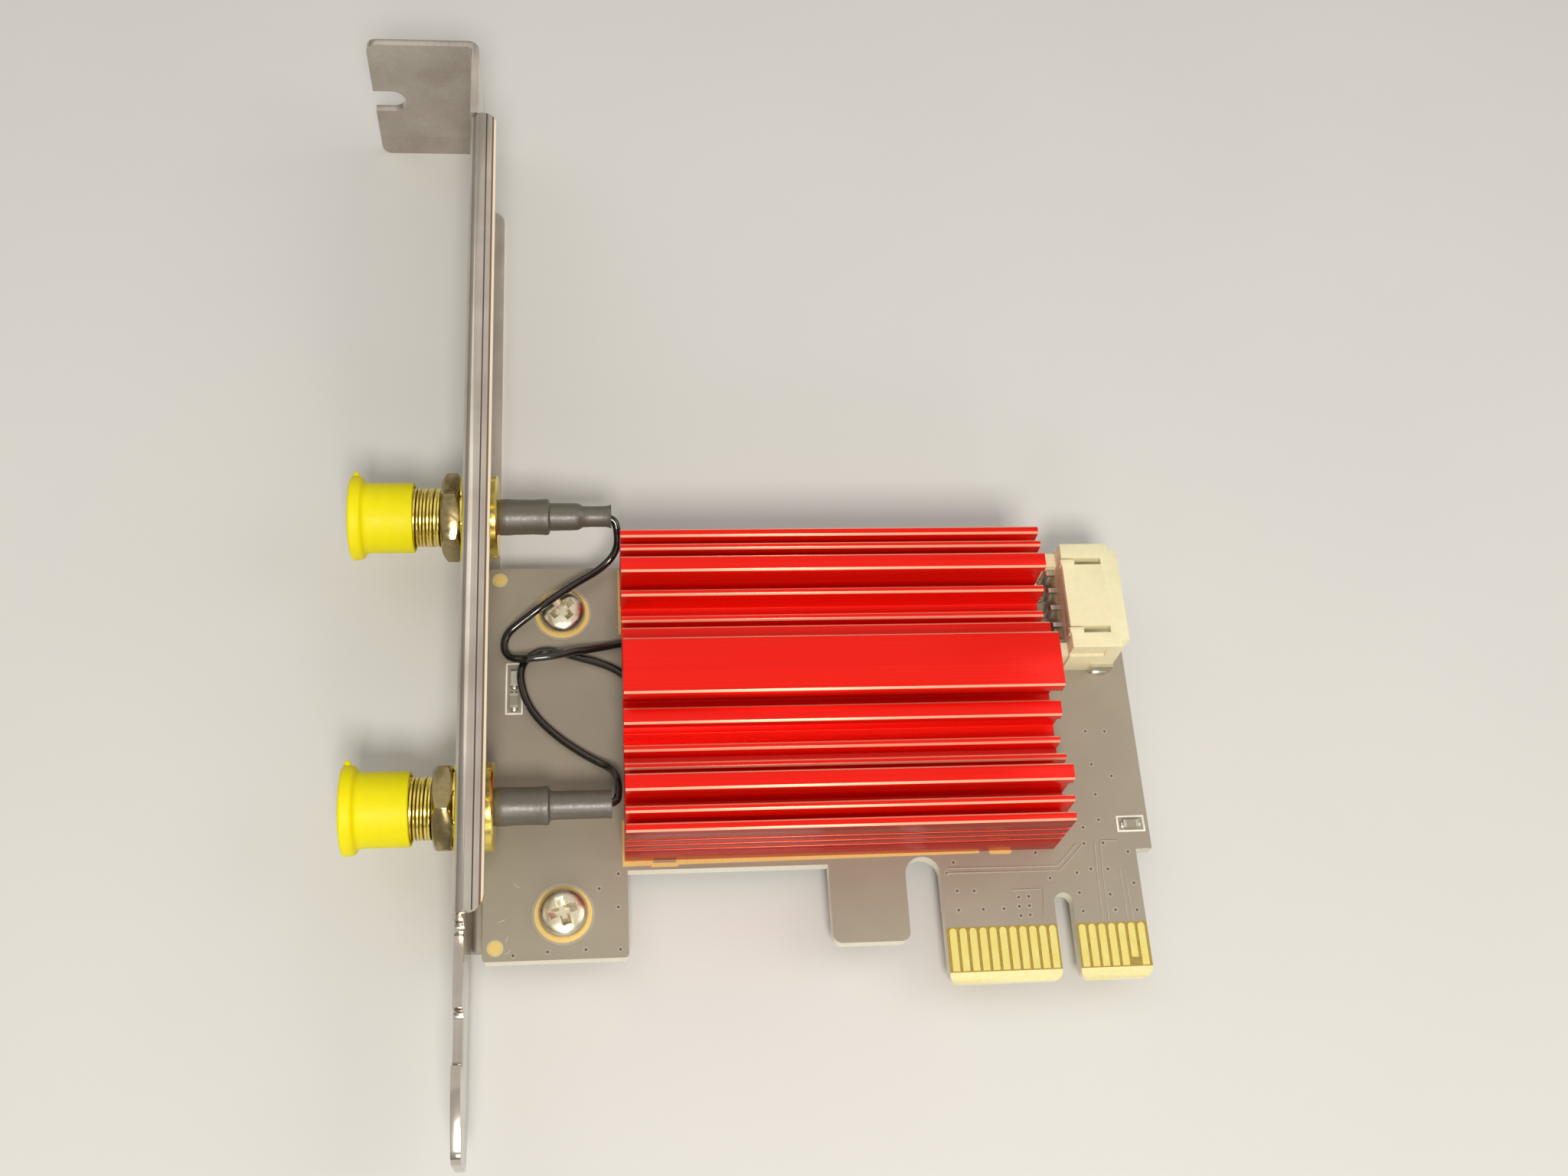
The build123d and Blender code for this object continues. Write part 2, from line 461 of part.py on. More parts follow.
def bracket():
    free_edge = PLATE_OUT + FLANGE_DEPTH
    side = area(PLATE_OUT, free_edge, FLANGE_FOOT, FLANGE_TOP)
    side = fillet(corners_at(side, [(free_edge, FLANGE_FOOT), (free_edge, FLANGE_TOP)]), FLANGE_CORNER_R)
    channel = along_y(channel_profile(), FLANGE_FOOT, FLANGE_TOP)
    channel &= extrude(Pos(0, 0, BRACKET_LOW) * side, BRACKET_WIDTH)

    corner = make_face(Polyline(
        (PLATE_IN, FLANGE_TOP), (PLATE_IN, BRACKET_TOP), (PLATE_OUT - TAB_REACH, BRACKET_TOP),
        (PLATE_OUT - TAB_REACH, BRACKET_TOP - SHEET), (PLATE_OUT, BRACKET_TOP - SHEET),
        (PLATE_OUT, FLANGE_TOP), close=True))
    corner = fillet(corners_at(corner, [(PLATE_IN, BRACKET_TOP)]), BEND_OUTSIDE_R)
    corner = fillet(corners_at(corner, [(PLATE_OUT, BRACKET_TOP - SHEET)]), BEND_INSIDE_R)
    tab = extrude(Pos(0, 0, BRACKET_LOW) * corner, BRACKET_WIDTH)
    tab_end = PLATE_OUT - TAB_REACH
    plan = area(tab_end, PLATE_IN, BRACKET_LOW, BRACKET_HIGH)
    plan = fillet(corners_at(plan, [(tab_end, BRACKET_LOW), (tab_end, BRACKET_HIGH)]), TAB_CORNER_R)
    half = TAB_NOTCH_WIDTH / 2
    notch_spring = tab_end + TAB_NOTCH_DEPTH - half
    plan -= area(tab_end, notch_spring, BRACKET_MID - half, BRACKET_MID + half)
    plan -= Pos(notch_spring, BRACKET_MID) * Circle(half)
    tab &= along_y(plan, FLANGE_TOP, BRACKET_TOP)

    tip = BRACKET_TOP - BRACKET_LENGTH
    wide, narrow = TONGUE_WIDTH / 2, TONGUE_TIP_WIDTH / 2
    blade = make_face(Polyline(
        (FLANGE_FOOT, BRACKET_MID - wide), (tip + TONGUE_TAPER, BRACKET_MID - wide),
        (tip, BRACKET_MID - narrow), (tip, BRACKET_MID + narrow),
        (tip + TONGUE_TAPER, BRACKET_MID + wide), (FLANGE_FOOT, BRACKET_MID + wide), close=True))
    ends = [(tip, BRACKET_MID - narrow), (tip, BRACKET_MID + narrow)]
    blade = fillet(corners_at(blade, ends), TONGUE_CORNER_R)
    notch_floor = BRACKET_MID + wide - TONGUE_NOTCH_DEPTH
    notch = area(TONGUE_NOTCH_FOOT, TONGUE_NOTCH_TOP, notch_floor, BRACKET_MID + wide + TONGUE_NOTCH_DEPTH)
    floor_ends = [(TONGUE_NOTCH_FOOT, notch_floor), (TONGUE_NOTCH_TOP, notch_floor)]
    blade -= fillet(corners_at(notch, floor_ends), TONGUE_NOTCH_DEPTH / 2)
    for side in (-1, 1):
        blade -= Pos(FLANGE_FOOT - TONGUE_RELIEF_R, BRACKET_MID + side * wide) * Circle(TONGUE_RELIEF_R)
    tongue = extrude(Plane.YZ.offset(PLATE_OUT) * blade, SHEET)

    sheet = channel + tab + tongue
    ear_under = BOARD_UNDER - SHEET
    fold_end = BOARD_UNDER + BEND_INSIDE_R
    for y in (SCREW_LOW, SCREW_HIGH):
        half = EAR_WIDTH / 2
        reach = half + EAR_RELIEF
        sheet -= block(PLATE_OUT - SHEET, free_edge + SHEET, max(y - reach, FLANGE_FOOT - SHEET),
                       y + reach, BRACKET_LOW - SHEET, fold_end)
        fold = make_face(Polyline(
            (PLATE_OUT, fold_end), (PLATE_OUT, ear_under), (EAR_END, ear_under), (EAR_END, BOARD_UNDER),
            (PLATE_IN, BOARD_UNDER), (PLATE_IN, fold_end), close=True))
        fold = fillet(corners_at(fold, [(PLATE_OUT, ear_under)]), BEND_OUTSIDE_R)
        fold = fillet(corners_at(fold, [(PLATE_IN, BOARD_UNDER)]), BEND_INSIDE_R)
        low = max(y - half, FLANGE_FOOT)
        sheet += along_y(fold, low, y + half)
        hole_r = SCREW_SHANK_R + HOLE_CLEARANCE
        sheet -= disc(SCREW_X, y, ear_under - SHEET, BOARD_UNDER + SHEET, hole_r)
    for y in (JACK_LOW, JACK_HIGH):
        sheet -= rod(PLATE_OUT - SHEET, PLATE_IN + SHEET, y, JACK_Z, THREAD_R + HOLE_CLEARANCE)
    return sheet


def cross_screw(x, y, seat, way, shank_r, head_r, head_height, length, turned=0):
    """Pan-head screw with a cross recess. The head stands on the seat, on the side that way gives."""
    head = Pos(0, 0, head_height / 2) * Cylinder(head_r, head_height)
    head = fillet(head.edges().group_by(Axis.Z)[-1], head_height * HEAD_DOME)
    scale = head_r / SCREW_HEAD_R
    for turn in (0, 90):
        arm = Box(RECESS_SPAN * scale, RECESS_WIDTH * scale, 2 * RECESS_DEPTH * scale)
        head -= Pos(0, 0, head_height) * Rot(0, 0, turn + turned) * arm
    screw = head + Pos(0, 0, -length / 2) * Cylinder(shank_r, length)
    flip = Rot(0, 0, 0) if way > 0 else Rot(180, 0, 0)
    return Pos(x, y, seat) * flip * screw


def bracket_screws():
    length = PLATING + BOARD_THICK + SHEET + SCREW_PAST_EAR
    size = (SCREW_SHANK_R, SCREW_HEAD_R, SCREW_HEAD_HEIGHT, length)
    places = ((SCREW_LOW, SCREW_TURN_LOW), (SCREW_HIGH, SCREW_TURN_HIGH))
    return [cross_screw(SCREW_X, y, PLATING, 1, *size, turned) for y, turned in places]


# Heatsink

def heatsink():
    section = Sketch() + area(-HALF_HEATSINK, HALF_HEATSINK, BASE_UNDER, FLOOR)
    section += area(-BAND_STEM / 2, BAND_STEM / 2, FLOOR, BAND_TOP)
    section += area(-BAND_WIDTH / 2, BAND_WIDTH / 2, BAND_TOP - BAND_THICK, BAND_TOP)
    for side in (-1, 1):
        outer = side * HALF_HEATSINK
        section += area(*sorted((outer, outer - side * RAIL_WIDTH)), PLATING, BASE_UNDER)
        section += area(*sorted((outer, outer - side * WALL_THICK)), FLOOR, WALL_TOP)
        for middle, top in FINS:
            section += area(side * middle - FIN_THICK / 2, side * middle + FIN_THICK / 2, FLOOR, top)
        for middle, top in TEES:
            section += area(side * middle - TEE_STEM / 2, side * middle + TEE_STEM / 2, FLOOR, top)
            head = (side * middle - TEE_WIDTH / 2, side * middle + TEE_WIDTH / 2)
            section += area(*head, top - TEE_HEAD, top)
        for k in range(WALL_GROOVES):
            z = WALL_TOP - WALL_GROOVE_DROP - k * WALL_GROOVE_PITCH
            groove = sorted((outer, outer - side * WALL_GROOVE_DEPTH))
            section -= area(*groove, z - WALL_GROOVE_WIDTH, z)
    tops = [BAND_TOP, WALL_TOP] + [top for middle, top in FINS + TEES]
    tips = [v for v in section.vertices() if any(abs(v.Y - top) < SAME_PLACE for top in tops)]
    section = chamfer(tips, TIP_CHAMFER)
    end = Plane((HEATSINK_NEAR, HEATSINK_MID, 0), x_dir=(0, 1, 0), z_dir=(1, 0, 0))
    body = extrude(end * section, HEATSINK_LENGTH)
    hole_r = RAIL_SCREW_SHANK_R + HOLE_CLEARANCE
    for x, y in RAIL_SCREWS:
        body -= disc(x, y, 0, PLATING + RAIL_SCREW_DEPTH + HOLE_CLEARANCE, hole_r)
    return body


def heatsink_screws():
    length = BOARD_THICK + PLATING + RAIL_SCREW_DEPTH
    size = (RAIL_SCREW_SHANK_R, RAIL_SCREW_HEAD_R, RAIL_SCREW_HEAD_HEIGHT, length)
    return [cross_screw(x, y, BOARD_UNDER, -1, *size) for x, y in RAIL_SCREWS]


# Radio module

def module_board():
    half = MODULE_WIDTH / 2
    outline = area(MODULE_NEAR, MODULE_FAR, HEATSINK_MID - half, HEATSINK_MID + half)
    outline -= Pos(MODULE_NEAR, HEATSINK_MID) * Circle(MODULE_NOTCH_R)
    return extrude(Pos(0, 0, MODULE_LIFT) * outline, MODULE_THICK)


def module_shield():
    half = SHIELD_WIDTH / 2
    outline = area(SHIELD_FAR - SHIELD_LENGTH, SHIELD_FAR, HEATSINK_MID - half, HEATSINK_MID + half)
    outline = fillet(outline.vertices(), SHIELD_CORNER_R)
    return extrude(Pos(0, 0, MODULE_TOP) * outline, SHIELD_HEIGHT)


def thermal_pad():
    half = SHIELD_WIDTH / 2 - PAD_MARGIN
    return block(SHIELD_FAR - SHIELD_LENGTH + PAD_MARGIN, SHIELD_FAR - PAD_MARGIN,
                 HEATSINK_MID - half, HEATSINK_MID + half, SHIELD_TOP, BASE_UNDER)


def module_socket():
    half = SOCKET_LENGTH / 2
    body = block(SOCKET_NEAR, SOCKET_FAR, HEATSINK_MID - half, HEATSINK_MID + half, 0, SOCKET_HEIGHT)
    mouth = MODULE_WIDTH / 2 + SOCKET_FIT
    return body - block(SOCKET_NEAR, MODULE_FAR, HEATSINK_MID - mouth, HEATSINK_MID + mouth,
                        MODULE_LIFT, MODULE_TOP)


def socket_terminals():
    first = HEATSINK_MID - (TERMINALS - 1) * TERMINAL_PITCH / 2
    half = TERMINAL_WIDTH / 2
    return [block(SOCKET_FAR, SOCKET_FAR + TERMINAL_REACH, first + k * TERMINAL_PITCH - half,
                  first + k * TERMINAL_PITCH + half, 0, TERMINAL_THICK) for k in range(TERMINALS)]


def module_standoff():
    post = disc(MODULE_NEAR, HEATSINK_MID, 0, MODULE_LIFT, STANDOFF_R)
    return post - disc(MODULE_NEAR, HEATSINK_MID, 0, MODULE_LIFT, MODULE_SCREW_R + HOLE_CLEARANCE)


def module_screw():
    return cross_screw(MODULE_NEAR, HEATSINK_MID, MODULE_TOP, 1, MODULE_SCREW_R, MODULE_SCREW_HEAD_R,
                       MODULE_SCREW_HEAD, MODULE_TOP)


# Antenna jacks, sleeves and caps

def jack_body(y):
    body = rod(JACK_MOUTH, PLATE_IN, y, JACK_Z, THREAD_R)
    body += rod(PLATE_IN, FLANGE_BACK, y, JACK_Z, JACK_FLANGE_R)
    body += rod(FLANGE_BACK, CRIMP_END, y, JACK_Z, CRIMP_R)
    body += rod(CRIMP_END, LEAD_START, y, JACK_Z, TAIL_R)
    return body - rod(JACK_MOUTH, JACK_MOUTH + JACK_BORE_DEPTH, y, JACK_Z, JACK_BORE_R)


def jack_insulator(y):
    front, back = JACK_MOUTH + INSULATOR_RECESS, JACK_MOUTH + JACK_BORE_DEPTH
    return rod(front, back, y, JACK_Z, JACK_BORE_R) - rod(front, back, y, JACK_Z, CONTACT_PIN_R)


def jack_contact(y):
    tip, back = JACK_MOUTH + CONTACT_PIN_RECESS, JACK_MOUTH + JACK_BORE_DEPTH
    pin = rod(tip, back, y, JACK_Z, CONTACT_PIN_R)
    return chamfer(pin.edges().group_by(Axis.X)[0], CONTACT_PIN_R / 2)


def jack_washer(y):
    outer, inner = PLATE_OUT - WASHER_THICK, PLATE_OUT
    ring = rod(outer, inner, y, JACK_Z, WASHER_R)
    ring -= rod(outer, inner, y, JACK_Z, THREAD_R + HOLE_CLEARANCE)
    middle = WASHER_R - WASHER_TOOTH_DEPTH / 2
    gap = Box(2 * WASHER_THICK, WASHER_TOOTH_WIDTH, WASHER_TOOTH_DEPTH)
    for k in range(WASHER_TEETH):
        ring -= Pos(outer, y, JACK_Z) * Rot(360 * k / WASHER_TEETH, 0, 0) * Pos(0, 0, middle) * gap
    return ring


def jack_nut(y, turn):
    back = PLATE_OUT - WASHER_THICK
    front = back - NUT_THICK
    corner_r = NUT_FLATS / math.sqrt(3)
    face = Plane((front, y, JACK_Z), x_dir=(0, 1, 0), z_dir=(1, 0, 0))
    flats = face * Rot(0, 0, turn) * RegularPolygon(corner_r, 6)
    face_r = NUT_FLATS / 2 - NUT_FACE_INSET
    section = make_face(Polyline(
        (front, 0), (front, face_r), (front + NUT_CHAMFER, corner_r), (back - NUT_CHAMFER, corner_r),
        (back, face_r), (back, 0), close=True))
    turned = Pos(0, y, JACK_Z) * revolve(section, Axis.X)
    return (extrude(flats, NUT_THICK) & turned) - rod(front, back, y, JACK_Z, THREAD_R + HOLE_CLEARANCE)


def sleeve(y, tail):
    end = SLEEVE_STEP + tail
    tube = rod(FLANGE_BACK, SLEEVE_STEP, y, JACK_Z, SLEEVE_R)
    tube += rod(SLEEVE_STEP, end, y, JACK_Z, SLEEVE_TAIL_R)
    tube -= rod(FLANGE_BACK, CRIMP_END, y, JACK_Z, CRIMP_R)
    tube -= rod(CRIMP_END, LEAD_START, y, JACK_Z, TAIL_R)
    return tube - rod(LEAD_START, end, y, JACK_Z, LEAD_R + SLEEVE_FIT)


def dust_cap(y, seat):
    """Push-on cap with a flared lip at its closed end."""
    end = JACK_MOUTH - seat - CAP_END_WALL
    lip_back = end + CAP_LIP_THICK
    mouth = end + CAP_LENGTH
    bore_r = THREAD_R + CAP_FIT
    section = make_face(Polyline(
        (end, 0), (end, CAP_LIP_R), (lip_back, CAP_LIP_INNER_R), (lip_back, CAP_BODY_R),
        (mouth, CAP_BODY_R), (mouth, bore_r), (end + CAP_END_WALL, bore_r), (end + CAP_END_WALL, 0),
        close=True))
    rims = [(end, CAP_LIP_R), (lip_back, CAP_LIP_INNER_R)]
    section = fillet(corners_at(section, rims), CAP_EDGE_R)
    nub_length = CAP_LIP_R - CAP_BODY_R + CAP_NUB_PROUD
    nub_x = end + CAP_NUB_R + CAP_NUB_INSET
    nub = Pos(nub_x, 0, CAP_BODY_R + nub_length / 2) * Cylinder(CAP_NUB_R, nub_length)
    return Pos(0, y, JACK_Z) * (revolve(section, Axis.X) + Rot(-CAP_NUB_TURN, 0, 0) * nub)


def micro_plug(y):
    """Snap-on coaxial plug on the module, with a barrel that holds the lead."""
    body = disc(PLUG_X, y, MODULE_TOP, MODULE_TOP + PLUG_HEIGHT, PLUG_R)
    return body + rod(PLUG_X - PLUG_BARREL, PLUG_X, y, PLUG_AXIS, PLUG_BARREL_R)


def lead(points, name):
    """Round lead along straight runs joined by the largest tangent arcs that the runs allow."""
    route = [Vector(*p) for p in points]
    radii = []
    for a, b, c in zip(route, route[1:], route[2:]):
        half_turn = math.radians((b - a).get_angle(c - b)) / 2
        radii.append(ARC_SHARE * min((b - a).length, (c - b).length) / math.tan(half_turn))
    path = FilletPolyline(*route, radius=radii)
    tube = sweep(Plane(path @ 0, z_dir=path % 0) * Circle(LEAD_R), path=path)
    expected = math.pi * LEAD_R ** 2 * path.length
    print(name, "length %.1f" % path.length, "volume ratio %.4f" % (tube.volume / expected))
    print("  radii", " ".join("%.1f" % r for r in radii))
    return tube


# Header

def header_housing():
    low, high = HEADER_MID - HEADER_WIDTH / 2, HEADER_MID + HEADER_WIDTH / 2
    nose = HEADER_FRONT - HEADER_NOSE
    body = block(HEADER_LEFT, nose, low, high, 0, HEADER_HEIGHT)
    body += block(nose, HEADER_FRONT, low + HEADER_NOSE_STEP, high - HEADER_NOSE_STEP, 0, HEADER_HEIGHT)
    wall = HEADER_NOSE_STEP + HEADER_SIDE_WALL
    body -= block(HEADER_LEFT + HEADER_BACK, HEADER_FRONT, low + wall, high - wall,
                  HEADER_FLOOR, HEADER_HEIGHT - HEADER_ROOF)
    slot_near = HEADER_LEFT + HEADER_SLOT_INSET
    half = HEADER_SLOT_WIDTH / 2
    for side in (-1, 1):
        y = HEADER_MID + side * HEADER_SLOT_SPACING / 2
        body -= block(slot_near, slot_near + HEADER_SLOT_LENGTH, y - half, y + half,
                      HEADER_HEIGHT - HEADER_ROOF, HEADER_HEIGHT)
        body += block(HEADER_LEFT - HEADER_RIB_PROUD, slot_near, y - half, y + half,
                      HEADER_HEIGHT - HEADER_ROOF, HEADER_HEIGHT + HEADER_RIB_PROUD)
        face = HEADER_MID + side * HEADER_WIDTH / 2
        arm = sorted((face, face - side * HEADER_ARM_WIDTH))
        body += block(HEADER_LEFT - HEADER_ARM_LENGTH, HEADER_LEFT, *arm, 0, HEADER_ARM_HEIGHT)
        ledge = face + side * HEADER_LEDGE
        body += block(HEADER_LEFT, nose, *sorted((face, ledge)), 0, HEADER_LEDGE_HEIGHT)
        slope = make_face(Polyline(
            (face, HEADER_LEDGE_HEIGHT), (ledge, HEADER_LEDGE_HEIGHT), (face, HEADER_LUG_TOP), close=True))
        body += extrude(Plane.YZ.offset(nose) * slope, -HEADER_LUG_LENGTH)
    for y in header_ways():
        half_pin = PIN_WIDTH / 2
        body -= block(HEADER_LEFT, HEADER_LEFT + HEADER_BACK, y - half_pin, y + half_pin,
                      PIN_HEIGHT - half_pin, PIN_HEIGHT + half_pin)
    return body


def header_ways():
    first = HEADER_MID - (HEADER_WAYS - 1) * HEADER_PITCH / 2
    return [first + k * HEADER_PITCH for k in range(HEADER_WAYS)]


def header_pins():
    """Square pins that run through the back wall, bend down and end in a foot on the board."""
    half = PIN_WIDTH / 2
    bend = HEADER_LEFT - PIN_TAIL
    pins = []
    for y in header_ways():
        pin = block(bend - half, HEADER_LEFT + HEADER_BACK + PIN_IN_MOUTH, y - half, y + half,
                    PIN_HEIGHT - half, PIN_HEIGHT + half)
        pin += block(bend - half, bend + half, y - half, y + half, 0, PIN_HEIGHT + half)
        pin += block(bend - half - PIN_FOOT, bend + half, y - half, y + half, 0, PIN_WIDTH / 2)
        corner = Vector(bend - half, y, PIN_HEIGHT + half)
        outer = [e for e in pin.edges() if (e.center() - corner).length < SAME_PLACE]
        pins.append(fillet(outer, PIN_BEND_R))
    return pins


def header_tabs():
    near = HEADER_FRONT - HEADER_NOSE - HEADER_TAB_LENGTH
    tabs = []
    for side in (-1, 1):
        face = HEADER_MID + side * (HEADER_WIDTH / 2 + HEADER_LEDGE)
        across = sorted((face, face + side * HEADER_TAB_WIDTH))
        tabs.append(block(near, near + HEADER_TAB_LENGTH, *across, 0, HEADER_TAB_HEIGHT))
    return tabs


# Chip parts: the light and its resistor stand along Y, the far resistor lies along X

def chip_places():
    column = -BOARD_LEFT + CHIP_COLUMN
    return [(column, LED_RESISTOR_AT, 90), (BOARD_RIGHT - FAR_RESISTOR_INSET, FAR_RESISTOR_AT, 0)]


def chip_resistors():
    middle = CHIP_LENGTH - 2 * CHIP_END
    return [Pos(x, y, CHIP_HEIGHT / 2) * Rot(0, 0, turn) * Box(middle, CHIP_WIDTH, CHIP_HEIGHT)
            for x, y, turn in chip_places()]


def chip_ends():
    places = [place + (CHIP_HEIGHT,) for place in chip_places()]
    places.append((-BOARD_LEFT + CHIP_COLUMN, LED_AT, 90, LED_BASE))
    ends = []
    for x, y, turn, height in places:
        for side in (-1, 1):
            offset = side * (CHIP_LENGTH - CHIP_END) / 2
            end = Pos(offset, 0, 0) * Box(CHIP_END, CHIP_WIDTH, height)
            ends.append(Pos(x, y, height / 2) * Rot(0, 0, turn) * end)
    return ends


def status_light():
    x = -BOARD_LEFT + CHIP_COLUMN
    half = CHIP_WIDTH / 2
    reach = CHIP_LENGTH / 2 - CHIP_END
    base = block(x - half, x + half, LED_AT - reach, LED_AT + reach, 0, LED_BASE)
    half_length = CHIP_LENGTH / 2
    lens = block(x - half, x + half, LED_AT - half_length, LED_AT + half_length, LED_BASE, LED_HEIGHT)
    return base + chamfer(lens.edges().group_by(Axis.Z)[-1], LED_CHAMFER)


def save(name, shapes):
    """Writes one node: a single piece, or a group of like pieces."""
    pieces = shapes if isinstance(shapes, list) else [shapes]
    solids = [solid for piece in pieces for solid in piece.solids()]
    node = solids[0] if len(solids) == 1 else Compound(children=solids)
    export_step(node, "parts/" + name + ".step")


os.makedirs("parts", exist_ok=True)
save("circuit_board", circuit_board())
save("edge_contacts", edge_contacts())
save("ground_plating", ground_plating())
save("bracket", bracket())
save("bracket_screws", bracket_screws())
save("heatsink", heatsink())
save("heatsink_screws", heatsink_screws())
save("thermal_pad", thermal_pad())
save("module_board", module_board())
save("module_shield", module_shield())
save("module_socket", module_socket())
save("socket_terminals", socket_terminals())
save("module_standoff", module_standoff())
save("module_screw", module_screw())
save("header_housing", header_housing())
save("header_pins", header_pins())
save("header_tabs", header_tabs())
save("chip_resistors", chip_resistors())
save("chip_ends", chip_ends())
save("status_light", status_light())
for place, height, turn, tail, seat, plug, points in (
        ("upper", JACK_HIGH, NUT_TURN_HIGH, SLEEVE_TAIL_HIGH, CAP_SEAT_HIGH, PLUG_HIGH, HIGH_LEAD),
        ("lower", JACK_LOW, NUT_TURN_LOW, SLEEVE_TAIL_LOW, CAP_SEAT_LOW, PLUG_LOW, LOW_LEAD)):
    save(place + "_jack_body", jack_body(height))
    save(place + "_jack_insulator", jack_insulator(height))
    save(place + "_jack_contact", jack_contact(height))
    save(place + "_jack_washer", jack_washer(height))
    save(place + "_jack_nut", jack_nut(height, turn))
    save(place + "_sleeve", sleeve(height, tail))
    save(place + "_dust_cap", dust_cap(height, seat))
    save(place + "_micro_plug", micro_plug(plug))
    save(place + "_lead", lead(points, place + " lead"))
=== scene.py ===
import math

import bmesh
import bpy
from mathutils import Matrix, Vector


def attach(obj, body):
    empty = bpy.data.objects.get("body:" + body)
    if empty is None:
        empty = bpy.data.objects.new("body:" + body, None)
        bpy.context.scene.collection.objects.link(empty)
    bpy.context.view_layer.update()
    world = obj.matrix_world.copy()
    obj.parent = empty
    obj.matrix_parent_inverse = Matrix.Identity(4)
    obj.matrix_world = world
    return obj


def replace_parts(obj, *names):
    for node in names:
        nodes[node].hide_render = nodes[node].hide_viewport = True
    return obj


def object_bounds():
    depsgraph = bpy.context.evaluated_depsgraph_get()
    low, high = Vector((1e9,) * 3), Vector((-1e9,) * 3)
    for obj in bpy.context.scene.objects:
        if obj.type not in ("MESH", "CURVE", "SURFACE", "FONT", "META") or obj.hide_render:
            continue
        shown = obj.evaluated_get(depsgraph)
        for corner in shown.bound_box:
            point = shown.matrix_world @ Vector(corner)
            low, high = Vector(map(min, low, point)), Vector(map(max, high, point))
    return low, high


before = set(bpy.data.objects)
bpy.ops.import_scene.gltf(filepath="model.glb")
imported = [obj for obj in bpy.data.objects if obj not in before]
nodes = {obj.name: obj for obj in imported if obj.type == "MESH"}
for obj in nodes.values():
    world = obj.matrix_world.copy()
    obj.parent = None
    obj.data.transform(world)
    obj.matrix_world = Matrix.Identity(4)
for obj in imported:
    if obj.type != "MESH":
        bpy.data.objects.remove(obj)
cad_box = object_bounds()


# Circuit board: a 1.6 mm glass-epoxy laminate, printed on both faces with dark solder mask.
# Its outline is routed, so the cut edges and the bevel along the contacts show the bare pale laminate.

MM = 0.001


def linear(code):
    """An sRGB hex colour as linear values."""
    parts = [int(code[k:k + 2], 16) / 255 for k in (1, 3, 5)]
    return [p / 12.92 if p <= 0.04045 else ((p + 0.055) / 1.055) ** 2.4 for p in parts] + [1.0]


def add(tree, kind, inputs=None, **settings):
    """Adds a node. An input given as a socket is linked, any other value is set."""
    made = tree.nodes.new(kind)
    for name, value in settings.items():
        setattr(made, name, value)
    for key, value in (inputs or {}).items():
        if isinstance(value, bpy.types.NodeSocket):
            tree.links.new(value, made.inputs[key])
        else:
            made.inputs[key].default_value = value
    return made


def shader_of(name, **constants):
    """A new material with one shader whose constant sockets are set. Gives the material, its tree and shader."""
    made = bpy.data.materials.new(name)
    made.use_nodes = True
    tree = made.node_tree
    shader = tree.nodes["Principled BSDF"]
    for key, value in constants.items():
        shader.inputs[key.replace("_", " ")].default_value = value
    return made, tree, shader


def grained(name, dark, light, grain, rough, bump=0.0, **constants):
    """A finish whose colour and gloss vary with a grain of the given size in millimetres."""
    made, tree, shader = shader_of(name, **constants)
    place = add(tree, "ShaderNodeTexCoord").outputs["Object"]
    noise = add(tree, "ShaderNodeTexNoise", {"Vector": place, "Scale": 1 / (grain * MM), "Detail": 3.0,
                                             "Roughness": 0.55})
    tint = add(tree, "ShaderNodeMix", {0: noise.outputs["Fac"], 6: linear(dark), 7: linear(light)}, data_type="RGBA")
    gloss = add(tree, "ShaderNodeMapRange", {"Value": noise.outputs["Fac"], "From Min": 0.3, "From Max": 0.7,
                                             "To Min": rough[0], "To Max": rough[1]})
    tree.links.new(tint.outputs[2], shader.inputs["Base Color"])
    tree.links.new(gloss.outputs[0], shader.inputs["Roughness"])
    if bump:
        relief = add(tree, "ShaderNodeBump", {"Height": noise.outputs["Fac"], "Strength": 1.0, "Distance": bump * MM})
        tree.links.new(relief.outputs[0], shader.inputs["Normal"])
    return made


def dress(piece, material):
    """Gives a piece one finish all over."""
    piece.data.materials.clear()
    piece.data.materials.append(material)
    return piece


# The mask has a faint mottling and a soft gloss. It stops short of the contacts, where the laminate lies bare. The
# bevel and the cut edges show the layers of glass cloth as streaks. Single fibres are too fine, so they are left out.
BARE_BELOW = 5.45  # Y up to which the tongue is free of mask
BARE_FROM = -13.0  # X from which the tongue begins
board_finish, tree, shader = shader_of("solder_mask_on_laminate", Specular_IOR_Level=0.5)
coords = add(tree, "ShaderNodeTexCoord")
cloud = add(tree, "ShaderNodeTexNoise", {"Vector": coords.outputs["Object"], "Scale": 1 / (9 * MM), "Detail": 4.0})
fleck = add(tree, "ShaderNodeTexNoise", {"Vector": coords.outputs["Object"], "Scale": 1 / (0.15 * MM), "Detail": 2.0})
mask = add(tree, "ShaderNodeMix", {0: cloud.outputs["Fac"], 6: linear("#91897a"), 7: linear("#a89f8c")},
           data_type="RGBA")
fibre = add(tree, "ShaderNodeMapping", {"Vector": coords.outputs["Object"],
                                        "Scale": (1 / (0.5 * MM), 1 / (0.5 * MM), 1 / (0.12 * MM))})
cloth = add(tree, "ShaderNodeTexNoise", {"Vector": fibre.outputs[0], "Scale": 1.0, "Detail": 2.0})
bare = add(tree, "ShaderNodeMix", {0: cloth.outputs["Fac"], 6: linear("#8d742b"), 7: linear("#b59c46")},
           data_type="RGBA")
bevel = add(tree, "ShaderNodeMix", {0: cloth.outputs["Fac"], 6: linear("#d8cc86"), 7: linear("#eee5ac")},
            data_type="RGBA")
